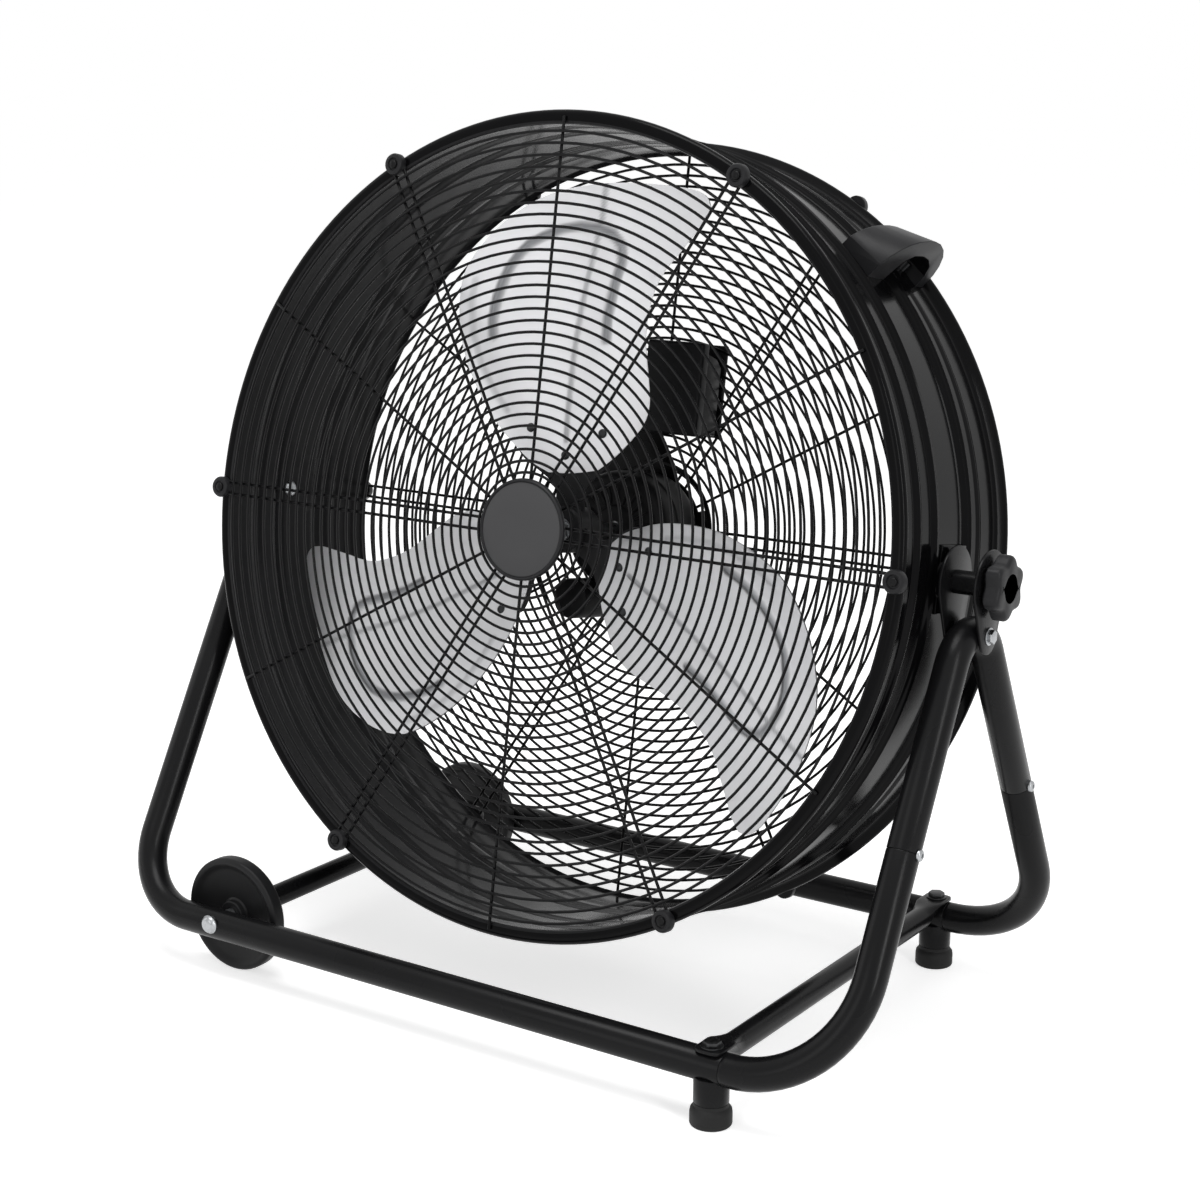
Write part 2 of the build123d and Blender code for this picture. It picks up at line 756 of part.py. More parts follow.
def hub_arm():
    """Arm under a blade's root: narrow at the hub, as wide as the rivets need further out."""
    foot = hub_radius - 6.0
    shoulder = arm_reach - arm_shoulder
    left = rivet_shift - arm_width / 2
    right = rivet_shift + arm_width / 2
    outline = [(-arm_root_width / 2, foot), (arm_root_width / 2, foot), (right, shoulder),
               (right, arm_reach), (left, arm_reach), (left, shoulder)]
    under_blade = sheet(2 * blade_half_chord, arm_thickness, blade_thickness - sink)
    return under_blade & outward_cutter(outline)


def fan_hub():
    """Boss on the shaft with three arms under the blade roots."""
    hub = along_y(bar(hub_radius, hub_front, hub_front + hub_length, 18))
    arm = hub_arm()
    for index in range(blade_count):
        hub += blade_place(index) * arm
    return hub - along_y(hole(shaft_radius, hub_front - 1, hub_front + hub_length + 1, 12))


def blade_rivets():
    """Three rivets through each blade root and its arm."""
    pieces = []
    for index in range(blade_count):
        for distance, x in ((first_rivet_reach, rivet_shift),
                            (second_rivet_reach, rivet_shift - rivet_spread),
                            (second_rivet_reach, rivet_shift + rivet_spread)):
            low = blade_depth(x) + blade_rake * (distance - blade_reach) - 2.0
            rivet = bar(rivet_radius, low, low + rivet_length, 6)
            pieces.append(blade_place(index) * Pos(x, 0, distance) * along_y(rivet))
    return pieces


def motor_shaft():
    """Shaft from the hub nut to the rear bearing."""
    return along_y(rod(shaft_radius, shaft_front, motor_back - motor_wall - 0.5))


def hub_nut():
    """Nut that holds the hub on the shaft."""
    low = hub_front - hub_nut_height
    section = [(flat_radius(shaft_radius, 6), low), (hub_nut_radius, low),
               (hub_nut_radius, hub_front), (flat_radius(shaft_radius, 6), hub_front)]
    return along_y(facet_ring(section, 6))


# ---------------------------------------------------------------- motor
def stator_span():
    middle = (motor_front + motor_back) / 2
    return middle - stator_length / 2, middle + stator_length / 2


def motor_cup(closed, rim, inward):
    """Half of the motor housing: a cup with a bearing seat in its closed end."""
    wall = motor_radius - motor_wall
    floor = closed + inward * motor_wall
    seat = floor + inward * bearing_length
    bore = shaft_radius + 1.5
    section = [(bore, closed), (motor_radius - 8.0, closed), (motor_radius, closed + inward * 8.0),
               (motor_radius, rim), (wall, rim), (wall, floor + inward * 4.0),
               (bearing_radius + 4.0, floor), (bearing_radius + 4.0, seat),
               (bearing_radius, seat), (bearing_radius, floor), (bore, floor)]
    return along_y(facet_ring(section, motor_sides))


def bearing(low):
    """Ball bearing, drawn as one ring."""
    bore = flat_radius(shaft_radius + running_fit, motor_sides)
    section = [(bore, low), (bearing_radius, low), (bearing_radius, low + bearing_length),
               (bore, low + bearing_length)]
    return along_y(facet_ring(section, motor_sides))


def stator():
    """Laminated stack with its windings, pressed in the housing."""
    low, high = stator_span()
    bore = flat_radius(rotor_core_radius + air_gap, 18)
    outer = motor_radius - motor_wall
    section = [(bore, low), (stator_radius, low), (outer, low + 4.0), (outer, high - 4.0),
               (stator_radius, high), (bore, high)]
    return along_y(facet_ring(section, motor_sides))


def rotor_core():
    """Core pressed on the shaft inside the stator."""
    low, high = stator_span()
    section = [(flat_radius(shaft_radius, 18), low), (rotor_core_radius, low),
               (rotor_core_radius, high), (flat_radius(shaft_radius, 18), high)]
    return along_y(facet_ring(section, 18))


def motor_mount():
    """Round plate welded to the radial wires of the rear guard."""
    plate = bar(mount_plate_radius, motor_back, drum_back, 18)
    plate -= bar(shaft_radius + 4.0, motor_back - 1, drum_back + 1, 8)
    plate = along_y(plate)
    for shank in round_about_y(motor_bolt_shank(), 4, first=15.0):
        plate -= shank
    return plate


def motor_bolt_shank():
    start = drum_back - motor_bolt_length
    return Pos(motor_bolt_circle_radius, 0, 0) * along_y(bar(motor_bolt_radius, start, drum_back, 6))


def motor_bolts():
    """Bolts through the mount plate into the housing."""
    head = Pos(motor_bolt_circle_radius, 0, 0) * along_y(
        bar(motor_bolt_head_radius, drum_back, drum_back + motor_bolt_head_height, 6))
    return round_about_y(motor_bolt_shank() + head, 4, first=15.0)


def capacitor():
    """Run capacitor strapped to the side of the motor."""
    distance = (motor_radius + capacitor_radius) * cos(pi / motor_sides) - sink
    high = motor_back - 2.0
    can = bar(capacitor_radius, high - capacitor_length, high, 16)
    return Rot(Y=-capacitor_angle) * Pos(distance, 0, 0) * along_y(can)


# ---------------------------------------------------------------- control box
def switch_centre():
    """Place of the switch shaft, between two rings of the rear guard."""
    radius = (ring_radius(switch_ring) + ring_radius(switch_ring + 1)) / 2 * cos(pi / ring_sides)
    angle = radians(switch_angle)
    return radius * cos(angle), radius * sin(angle)


def control_box():
    """Open-backed box in front of the rear guard, closed by its cover behind it."""
    x, z = switch_centre()
    middle = drum_back + sink - box_depth / 2
    outer = Box(box_width, box_depth, box_height)
    inner = Pos(0, box_wall, 0) * Box(box_width - 2 * box_wall, box_depth, box_height - 2 * box_wall)
    return Pos(x, middle, z - box_drop) * (outer - inner)


def cover_back():
    return drum_back + 2 * wire_depth - 2 * sink


def control_cover():
    """Cover outside the wires, with the holes for the switch and the cord."""
    x, z = switch_centre()
    low = cover_back()
    cover = Box(box_width, cover_thickness, box_height)
    cover = Pos(x, low + cover_thickness / 2, z - box_drop) * cover
    cover -= Pos(x, 0, z) * along_y(hole(switch_shaft_radius + 0.5, low - 1, low + 10))
    cover -= Pos(x, 0, z - gland_drop()) * along_y(hole(gland_bore_radius, low - 1, low + 10))
    return cover


def gland_drop():
    return box_height / 2 - gland_radius - 1.0


def speed_switch():
    """Rotary switch in the box, its body against the rings."""
    x, z = switch_centre()
    low = drum_back + wire_depth - switch_body_depth
    body = Box(switch_body_size, switch_body_depth, switch_body_size)
    body = Pos(x, low + switch_body_depth / 2, z) * body
    top = cover_back() + cover_thickness + speed_knob_height - 4.0
    return body + Pos(x, 0, z) * along_y(bar(switch_shaft_radius, low + 1, top))


def speed_knob():
    """Pointer knob on the switch shaft."""
    x, z = switch_centre()
    low = cover_back() + cover_thickness + face_gap
    high = low + speed_knob_height
    knob = bar(speed_knob_radius, low, low + 5.0, 16)
    knob += Pos(0, 0, (low + high) / 2) * Box(6.0, 2 * speed_knob_radius - 2.0, high - low)
    knob -= hole(switch_shaft_radius + running_fit, low - 1, high - 3.0)
    return Pos(x, 0, z) * along_y(knob)


def cord_gland():
    """Gland where a cord would enter the cover."""
    x, z = switch_centre()
    low = cover_back() + cover_thickness
    section = [(gland_bore_radius, low), (gland_radius, low), (gland_radius, low + 4.0),
               (gland_radius - 1.6, low + gland_height), (gland_bore_radius, low + gland_height)]
    return Pos(x, 0, z - gland_drop()) * along_y(facet_ring(section, 12))


def cover_screws():
    """Screws at the corners of the cover."""
    x, z = switch_centre()
    low = cover_back() + cover_thickness
    screw = bar(cover_screw_radius, low, low + cover_screw_height, 6)
    pieces = []
    for side in (-1, 1):
        for end in (-1, 1):
            across = side * (box_width / 2 - 5.0)
            up = end * (box_height / 2 - 5.0) - box_drop
            pieces.append(Pos(x + across, 0, z + up) * along_y(screw))
    return pieces


# ---------------------------------------------------------------- handle
def handle_screw_places():
    return (handle_front + handle_foot_length / 2, handle_rear_foot + handle_rear_foot_length / 2)


def handle():
    """Moulded arch across the drum with a hand gap under its grip."""
    top = shell_radius + handle_rise
    under = top - grip_height
    front = handle_front
    back = handle_back
    outline = Polyline((front, shell_radius - 4), (front, shell_radius + 13), (front + 12, top - 13),
                       (front + 26, top - 4), (front + 44, top), (back - 16, top),
                       (back - 5, top - 5), (back, top - 14), (back - 2, under - 4),
                       (handle_rear_foot + handle_rear_foot_length, shell_radius + 9),
                       (handle_rear_foot + handle_rear_foot_length, shell_radius - 4), close=True)
    gap_front = front + handle_foot_length + 4.0
    gap = Polyline((gap_front, shell_radius - 5), (gap_front, under - 9), (gap_front + 9, under),
                   (handle_rear_foot - 8, under), (handle_rear_foot, under - 8),
                   (handle_rear_foot, shell_radius - 5), close=True)
    face = make_face(outline.edges()) - make_face(gap.edges())
    flat = Plane(origin=(0, 0, 0), x_dir=(0, 1, 0), z_dir=(0, 0, -1))
    arch = Rot(Y=-handle_angle) * extrude(flat * face, handle_width / 2, both=True)
    return on_drum(arch - drum_core())


def handle_screws():
    """Screws from inside the drum into the handle's feet."""
    pieces = []
    for y in handle_screw_places():
        screw = bar(handle_screw_radius, drum_bore_flat, shell_radius + 8.0, 6)
        screw += bar(handle_screw_head_radius, drum_bore_flat - 3.0, drum_bore_flat, 8)
        pieces.append(on_drum(Rot(Y=-handle_angle) * Pos(0, y, 0) * along_x(screw)))
    return pieces


# ---------------------------------------------------------------- pieces and files
def drum_pieces(shape):
    """Place one piece or several in the drum."""
    if isinstance(shape, list):
        return [on_drum(piece) for piece in shape]
    return on_drum(shape)


def save(name, shape):
    """Write one piece, or a group of separate pieces, under its name."""
    if isinstance(shape, list):
        shape = Compound(children=shape)
    export_step(shape, f"parts/{name}.step")


save("front_base_tube", base_tube(-1))
save("rear_base_tube", base_tube(1))
save("front_corner_tube", corner_tube(-1))
save("rear_corner_tube", corner_tube(1))
save("left_v_tube", v_tube(-tube_offset_x, left_seam_depth))
save("right_v_tube", v_tube(tube_offset_x, right_seam_depth))
save("joint_plugs", joint_plugs())
save("seam_screws", seam_screws())
save("cross_bar", cross_bar())
save("foot_bolts", foot_bolts())
save("foot_sleeves", foot_sleeves())
save("rubber_feet", rubber_feet())
save("axle_rod", axle())
save("axle_tube", axle_tube())
save("axle_cap_nuts", axle_cap_nuts())
save("wheel_front", wheel(-1))
save("wheel_rear", wheel(1))
save("bracket_plates", bracket_plates())
save("bracket_spacers", bracket_spacers())
save("bracket_bolts", bracket_bolts())
save("pivot_washers", pivot_washers())
save("pivot_bolts", pivot_bolts())
save("pivot_pads", pivot_pads())
save("pad_rivets", pad_rivets())
save("tilt_knob_left", tilt_knob(-1))
save("tilt_knob_right", tilt_knob(1))
save("drum_shell", drum_shell())
save("front_guard_rings", guard_rings(drum_front - wire_depth, -1))
save("front_guard_spokes", guard_spokes(drum_front, -1))
save("front_clips", guard_clips(drum_front, -1))
save("front_clip_screws", clip_screws(drum_front, -1))
save("front_badge", front_badge())
save("rear_guard_rings", guard_rings(drum_back + wire_depth, 1))
save("rear_guard_spokes", guard_spokes(drum_back, 1))
save("rear_clips", guard_clips(drum_back, 1))
save("rear_clip_screws", clip_screws(drum_back, 1))
save("handle", handle())
save("handle_screws", handle_screws())
save("motor_front_shell", drum_pieces(motor_cup(motor_front, motor_split, 1)))
save("motor_rear_shell", drum_pieces(motor_cup(motor_back, motor_split, -1)))
save("front_bearing", drum_pieces(bearing(motor_front + motor_wall)))
save("rear_bearing", drum_pieces(bearing(motor_back - motor_wall - bearing_length)))
save("stator", drum_pieces(stator()))
save("motor_mount_plate", drum_pieces(motor_mount()))
save("motor_bolts", drum_pieces(motor_bolts()))
save("run_capacitor", drum_pieces(capacitor()))
save("control_box", drum_pieces(control_box()))
save("control_cover", drum_pieces(control_cover()))
save("speed_switch", drum_pieces(speed_switch()))
save("cord_gland", drum_pieces(cord_gland()))
save("cover_screws", drum_pieces(cover_screws()))
save("speed_knob", drum_pieces(speed_knob()))
save("motor_shaft", drum_pieces(motor_shaft()))
save("rotor_core", drum_pieces(rotor_core()))
save("fan_hub", drum_pieces(fan_hub()))
save("hub_nut", drum_pieces(hub_nut()))
save("blade_rivets", drum_pieces(blade_rivets()))
for number in range(blade_count):
    save(f"blade_{number + 1}", drum_pieces(blade_place(number) * blade()))
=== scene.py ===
import json
from math import atan, atan2, cos, degrees, hypot, pi, radians, sin, tan

import bmesh
import bpy
from mathutils import Matrix, Vector


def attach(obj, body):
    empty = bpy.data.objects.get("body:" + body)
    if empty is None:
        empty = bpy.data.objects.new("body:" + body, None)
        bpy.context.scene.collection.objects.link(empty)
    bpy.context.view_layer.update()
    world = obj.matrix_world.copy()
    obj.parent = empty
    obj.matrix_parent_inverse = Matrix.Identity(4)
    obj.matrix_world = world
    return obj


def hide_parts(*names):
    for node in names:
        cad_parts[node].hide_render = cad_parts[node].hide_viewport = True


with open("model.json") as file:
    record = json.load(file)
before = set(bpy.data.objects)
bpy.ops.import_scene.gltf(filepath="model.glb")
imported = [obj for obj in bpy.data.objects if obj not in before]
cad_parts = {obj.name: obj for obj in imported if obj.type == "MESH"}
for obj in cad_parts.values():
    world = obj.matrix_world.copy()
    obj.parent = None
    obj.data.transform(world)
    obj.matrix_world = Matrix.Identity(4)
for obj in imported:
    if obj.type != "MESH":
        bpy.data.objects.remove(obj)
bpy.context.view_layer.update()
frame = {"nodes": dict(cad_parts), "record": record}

# A drum fan in a tubular floor stand. Shapes are built in millimetres and turned to metres when
# they are finished. The drum's own frame has the fan axis along Y and its origin at the pivot.

# ---------------------------------------------------------------- sizes, in millimetres
metre = 1000.0
joints = {joint["name"]: joint for joint in frame["record"]["behaviour"]["joints"]}
pivot_height = joints["drum_tilt"]["pos_m"][2] * metre
rest_tilt = atan2(-joints["fan_spin"]["axis"][2], joints["fan_spin"]["axis"][1])
wheel_place = Vector(joints["wheel_rear_spin"]["pos_m"]) * metre

tube_radius = 12.7
tube_sides = 40
tube_chamfer = 0.8
bend_step = radians(5.0)
tube_offset_x = 348.0
leg_slope = 0.545
rail_height = 45.5
left_bend_radius = 65.0
right_bend_radius = 90.0
apex_bend_radius = 35.0
left_seam_depth = 66.0
right_seam_depth = 180.0
rail_seam_x = 255.0

foot_x = 243.0
foot_height = 18.0
foot_radius = 16.0
sleeve_radius = 13.5
cross_bar_radius = 9.5
cross_bar_height = 51.0
wheel_radius = 49.5
wheel_width = 14.0
wheel_hub_length = 17.0
axle_radius = 6.0

drum_front = -80.0
drum_depth = 186.0
rim_radius = 329.7
rim_inner_radius = 318.0
rim_length = 15.0
rim_curl_radius = 4.6
shell_radius = 322.0
shell_wall = 1.2
# Each bead's crest behind the front rim, the widths of its front and rear flank, and its height.
drum_beads = ((35.5, 5.0, 8.5, 3.8), (64.5, 5.0, 9.0, 4.3), (114.5, 5.0, 9.0, 4.3),
              (125.5, 3.5, 6.5, 3.0), (143.0, 4.0, 5.0, 1.6))

wire_radius = 1.2
wire_depth = 2.5
ring_first_radius = 36.0
ring_pitch = 9.2
ring_count = 31
spoke_pair_gap = 10.0
single_spoke_reach = 324.0
clip_count = 6
clip_circle_radius = 325.5
clip_radius = 9.0
clip_height = 7.0
badge_radius = 40.5
badge_thickness = 4.6

blade_angle = 91.0
blade_rake = -0.023
blade_reach = 52.0
blade_half_chord = 132.0
blade_pitch = 0.253
blade_bow = -13.1
blade_set = -24.6
blade_thickness = 1.3
rivet_places = ((-6.0, 60.0), (-36.0, 80.0), (24.0, 80.0))
shaft_radius = 6.0
hub_radius = 19.0
hub_front = -32.0
hub_length = 30.0
hub_arm_thickness = 2.5

motor_radius = 50.0
motor_front = 44.0
motor_split = 70.0
motor_back = 103.5
motor_bolt_circle_radius = 42.0
mount_plate_radius = 60.0
mount_arm_width = 16.0
mount_arm_angles = (15.0, 105.0, 195.0, 285.0)
capacitor_radius = 17.0
capacitor_length = 76.0
capacitor_angle = -112.0

box_width = 56.0
box_left = -35.0
box_depth = 34.0
box_height = 78.0
box_drop = 1.0
cover_thickness = 3.0
switch_x = 33.15
switch_z = 123.72

knob_radius = 24.5
knob_valley_radius = 20.0
speed_knob_radius = 15.0
knob_thickness = 14.0
knob_lobes = 6
pivot_bolt_radius = 5.0
handle_angle = 46.0
handle_width = 34.0
handle_screw_places = (13.0, 80.0)

pad_middle = 11.5
pad_face = 326.0
pad_length = 42.0
pad_height = 52.0
plate_thickness = 2.5
plate_top_radius = 27.0
plate_foot_radius = 14.0
bracket_bolt_depth = 38.0
smooth_angle = radians(38.0)

# Worked out from the sizes above.
drum_back = drum_front + drum_depth
rail_depth = pivot_height - rail_height
rail_offset_y = leg_slope * rail_depth
leg_length = hypot(1.0, leg_slope)
outer_plate_face = tube_offset_x + tube_radius + plate_thickness
inner_plate_face = tube_offset_x - tube_radius - plate_thickness
knob_back_face = outer_plate_face + 1.8
badge_back = drum_front - 2 * wire_depth + 0.5
badge_front = badge_back - badge_thickness
cover_back = drum_back + 2 * wire_depth - 0.5
cover_face = cover_back + cover_thickness
pivot_bore_radius = pivot_bolt_radius + 0.4

# Places and turns.
in_drum = Matrix.Translation((0, 0, pivot_height)) @ Matrix.Rotation(-rest_tilt, 4, "X")
in_stand = Matrix()
along_y = Matrix.Rotation(-pi / 2, 4, "X")
across = Matrix(((0, 0, 1, 0), (1, 0, 0, 0), (0, 1, 0, 0), (0, 0, 0, 1)))
at_switch = Matrix.Translation((switch_x, 0, switch_z))


# ---------------------------------------------------------------- materials
def linear(colour):
    """An sRGB hex colour, turned to linear."""
    channels = [int(colour[i:i + 2], 16) / 255 for i in (1, 3, 5)]
    channels = [c / 12.92 if c <= 0.04045 else ((c + 0.055) / 1.055) ** 2.4 for c in channels]
    return (*channels, 1.0)


def node(tree, kind, links=(), **settings):
    """Add a node with its settings, and link (output socket, input name) pairs into it."""
    made = tree.nodes.new(kind)
    for name, value in settings.items():
        if name in made.inputs:
            made.inputs[name].default_value = value
        elif name.replace("_", " ").title() in made.inputs:
            made.inputs[name.replace("_", " ").title()].default_value = value
        else:
            setattr(made, name, value)
    for output, name in links:
        tree.links.new(output, made.inputs[name])
    return made


def principled(made):
    """A material's node tree and its shader."""
    return made.node_tree, made.node_tree.nodes["Principled BSDF"]


def place_on(made):
    """Output with the place on the object, whose origin is the world's."""
    return node(made.node_tree, "ShaderNodeTexCoord").outputs["Object"]


def cloud(made, size, detail, distortion=0.0, place=None):
    """Noise with patches of a size in millimetres."""
    return node(made.node_tree, "ShaderNodeTexNoise", [(place or place_on(made), "Vector")],
                Scale=metre / size, Detail=detail, Distortion=distortion).outputs["Fac"]


def tint(made, factor, colours):
    """Colour a material between two colours, or towards one from what it has."""
    tree, shader = principled(made)
    mix = node(tree, "ShaderNodeMix", [(factor, "Factor")], data_type="RGBA")
    base = shader.inputs["Base Color"]
    if base.links:
        tree.links.new(base.links[0].from_socket, mix.inputs["A"])
    else:
        mix.inputs["A"].default_value = linear(colours[0])
    mix.inputs["B"].default_value = linear(colours[-1])
    tree.links.new(mix.outputs["Result"], base)


def material(name, colours, roughness, patch, metallic=0.0, ior=1.5, distortion=0.0):
    """A material whose colour and roughness drift slowly over patches, in millimetres."""
    made = bpy.data.materials.new(name)
    made.use_nodes = True
    tree, shader = principled(made)
    plain = linear(colours[1] if metallic else colours[0])
    made.diffuse_color = plain
    shader.inputs["Base Color"].default_value = plain
    shader.inputs["Roughness"].default_value = roughness[0]
    shader.inputs["Metallic"].default_value = metallic
    if not metallic:
        shader.inputs["IOR"].default_value = ior
    drift = cloud(made, patch, 4.0, distortion)
    tint(made, drift, colours)
    gloss = node(tree, "ShaderNodeMapRange", [(drift, "Value")], from_min=0.3, from_max=0.7,
                 to_min=roughness[0], to_max=roughness[1])
    tree.links.new(gloss.outputs["Result"], shader.inputs["Roughness"])
    return made


def relief(made, height, strength, depth):
    """Bump from a height output; depth is in millimetres."""
    tree, shader = principled(made)
    bump = node(tree, "ShaderNodeBump", [(height, "Height")], Strength=strength,
                Distance=depth / metre)
    tree.links.new(bump.outputs["Normal"], shader.inputs["Normal"])


def powder_coat(name, colours, roughness, ior=1.22, peel=0.12):
    """Baked powder on steel: near black, with a soft sheen that a fine orange peel breaks up."""
    made = material(name, colours, roughness, 60.0, ior=ior)
    relief(made, cloud(made, 1.6, 2.0), peel, peel)
    return made


def drum_coat(name, colours, inside, roughness):
    """The drum's powder coat: deep gloss black outside, and a lighter dark grey on the air side
    that is painted light.
    """
    made = powder_coat(name, colours, roughness, 1.15, 0.08)
    tree = made.node_tree
    from_axis = node(tree, "ShaderNodeVectorMath", [(place_on(made), 0)], operation="SUBTRACT")
    from_axis.inputs[1].default_value = (0, 0, pivot_height / metre)
    normal = node(tree, "ShaderNodeTexCoord").outputs["Normal"]
    facing_out = node(tree, "ShaderNodeVectorMath", [(from_axis.outputs["Vector"], 0), (normal, 1)],
                      operation="DOT_PRODUCT")
    painted_light_side = node(tree, "ShaderNodeMath", [(facing_out.outputs["Value"], 0)], operation="LESS_THAN")
    painted_light_side.inputs[1].default_value = 0.0
    # The air side takes the lighter grey given as inside: painted light.
    tint(made, painted_light_side.outputs["Value"], [inside])
    return made


def moulded_plastic(name, colours, roughness, grain=0.9):
    """Injection-moulded plastic from a spark-eroded mould: matt, with a fine even grain."""
    made = material(name, colours, roughness, 25.0, ior=1.27)
    pits = node(made.node_tree, "ShaderNodeTexVoronoi", [(place_on(made), "Vector")],
                Scale=metre / grain)
    relief(made, pits.outputs["Distance"], 0.25, 0.08)
    return made


def rolled_aluminium(name, colours, pressed, roughness):
    """Pressed aluminium sheet, mill finish: faint rolling lines, a soft, pale sheen, and painted
    shade that greys the pressed beads, taken from the blades' "pressed" layer."""
    made = material(name, colours, roughness, 90.0, metallic=1.0)
    tree = made.node_tree
    # The "pressed" layer mixes in the grey given as pressed: painted shade on the pressed lines.
    painted_shade = node(tree, "ShaderNodeAttribute", attribute_name="pressed")
    tint(made, painted_shade.outputs["Fac"], [pressed])
    stretch = node(tree, "ShaderNodeMapping", [(place_on(made), "Vector")], Scale=(1.0, 1.0, 0.04))
    relief(made, cloud(made, 2.0, 3.0, place=stretch.outputs["Vector"]), 0.08, 0.05)
    return made


def plated_steel(name, colours, roughness):
    """Zinc-plated steel: bright, with small cloudy crystals in the plating."""
    return material(name, colours, roughness, 4.0, metallic=1.0, distortion=0.6)


def moulded_rubber(name, colours, roughness):
    """Moulded rubber: very dark, matt, with a dusty bloom."""
    made = material(name, colours, roughness, 12.0, ior=1.35)
    relief(made, cloud(made, 0.8, 3.0), 0.2, 0.1)
    return made


painted_steel = powder_coat("black powder-coated steel tube", ("#0E0E0F", "#141415"), (0.24, 0.31))
# 262627 is painted light: the same black paint made lighter for the drum's inner side.
drum_paint = drum_coat("black powder-coated steel sheet", ("#070708", "#0D0D0E"), "#262627",
                       (0.12, 0.17))
guard_paint = powder_coat("black powder-coated steel wire", ("#0B0B0C", "#111112"), (0.32, 0.40))
# 6C6E71 is the painted shade in the blades' pressed lines.
aluminium = rolled_aluminium("pressed aluminium sheet", ("#CCCCCE", "#DADADC"), "#6C6E71",
                             (0.34, 0.44))
zinc = plated_steel("zinc-plated steel", ("#8E9092", "#B4B6B8"), (0.24, 0.38))
dark_zinc = plated_steel("blackened zinc rivets and screws", ("#2C2C2D", "#48494A"), (0.34, 0.46))
motor_casting = powder_coat("painted die-cast motor housing", ("#121213", "#1A1A1B"), (0.42, 0.52))
hub_steel = powder_coat("painted steel hub plate", ("#222223", "#2C2C2D"), (0.42, 0.52))
black_plastic = moulded_plastic("black moulded ABS", ("#171718", "#1F1F21"), (0.38, 0.46))
badge_plastic = moulded_plastic("matt dark grey moulded ABS", ("#424243", "#474748"), (0.55, 0.62))
wheel_plastic = moulded_plastic("black moulded polypropylene wheel", ("#121213", "#19191A"),
                                (0.42, 0.50), 1.2)
rubber = moulded_rubber("black moulded rubber", ("#0F0F0F", "#151515"), (0.58, 0.70))

# Each finish's slot; CAD nodes that still show take the first finish with their slot.
slots = {painted_steel: "painted_steel", drum_paint: "painted_steel", guard_paint: "guard_steel",
         aluminium: "blade_aluminium", zinc: "bright_steel", dark_zinc: "blade_aluminium",
         motor_casting: "motor_housing", hub_steel: "hub_steel", black_plastic: "black_plastic",
         badge_plastic: "black_plastic", wheel_plastic: "wheel_plastic", rubber: "foot_rubber"}


# ---------------------------------------------------------------- building
def piece(name, finish, body, nodes, place, draw, *settings, merge=0.02):
    """Draw a shape and turn it into an object that stands for CAD nodes and rides on a body."""
    shape = bmesh.new()
    draw(shape, *settings)
    shape.transform(place)
    bmesh.ops.remove_doubles(shape, verts=shape.verts, dist=merge)
    bmesh.ops.recalc_face_normals(shape, faces=shape.faces)
    bmesh.ops.scale(shape, vec=(1 / metre,) * 3, verts=shape.verts)
    for face in shape.faces:
        face.smooth = True
    for edge in shape.edges:
        if len(edge.link_faces) == 2:
            edge.smooth = edge.calc_face_angle() < smooth_angle
    mesh = bpy.data.meshes.new(name)
    shape.to_mesh(mesh)
    shape.free()
    mesh.materials.append(finish)
    made = bpy.data.objects.new(name, mesh)
    bpy.context.scene.collection.objects.link(made)
    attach(made, body)
    if nodes:
        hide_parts(*nodes)


def loop(shape, points, closed=True):
    """Vertices and edges through the points."""
    verts = [shape.verts.new(point) for point in points]
    count = len(verts) if closed else len(verts) - 1
    edges = [shape.edges.new((verts[i], verts[(i + 1) % len(verts)])) for i in range(count)]
    return verts, edges


def revolve(shape, profile, steps, place=in_stand):
    """Full turn round Y of a profile of (radius, along) pairs."""
    closed = profile[0][0] > 0 or profile[-1][0] > 0
    points = [place @ Vector((radius, along, 0)) for radius, along in profile]
    verts, edges = loop(shape, points, closed)
    bmesh.ops.spin(shape, geom=verts + edges, cent=place.translation,
                   axis=place.to_3x3() @ Vector((0, 1, 0)), dvec=(0, 0, 0), angle=2 * pi,
                   steps=steps, use_merge=True, use_duplicate=False)


def arc(centre, radius, first, last, steps):
    """Points of an arc in the plane, between two angles in degrees."""
    angles = [radians(first + (last - first) * i / steps) for i in range(steps + 1)]
    return [(centre[0] + radius * cos(a), centre[1] + radius * sin(a)) for a in angles]


def add(shape, part, *places):
    """Put a finished part into a shape, once at each place."""
    mesh = bpy.data.meshes.new("part")
    part.to_mesh(mesh)
    part.free()
    for place in places:
        placed = mesh.copy()
        placed.transform(place)
        shape.from_mesh(placed)
        bpy.data.meshes.remove(placed)
    bpy.data.meshes.remove(mesh)


def soften(shape, edges, radius, segments=2):
    """Round some edges off."""
    bmesh.ops.bevel(shape, geom=list(edges), offset=radius, offset_type="OFFSET",
                    segments=segments, profile=0.5, affect="EDGES", clamp_overlap=True,
                    material=-1)


def skin(shape, loops):
    """Bridge loops of edges in turn, and fill the first and the last."""
    for low, high in zip(loops, loops[1:]):
        bmesh.ops.bridge_loops(shape, edges=low + high)
    for end in (loops[0], loops[-1]):
        bmesh.ops.edgeloop_fill(shape, edges=end)


def around(angle, radius=0.0, along=0.0):
    """Place at an angle in degrees round Y, with X pointing away from it."""
    return Matrix.Rotation(-radians(angle), 4, "Y") @ Matrix.Translation((radius, along, 0))


def facing(side, axis="Z"):
    """Turns what is made for the positive side to face the negative one."""
    return in_stand if side > 0 else Matrix.Rotation(pi, 4, axis)


def at_foot(side):
    """Turns a shape made along Y upright, on the floor under a rail."""
    return Matrix.Translation((foot_x, side * rail_offset_y, 0)) @ along_y.inverted()


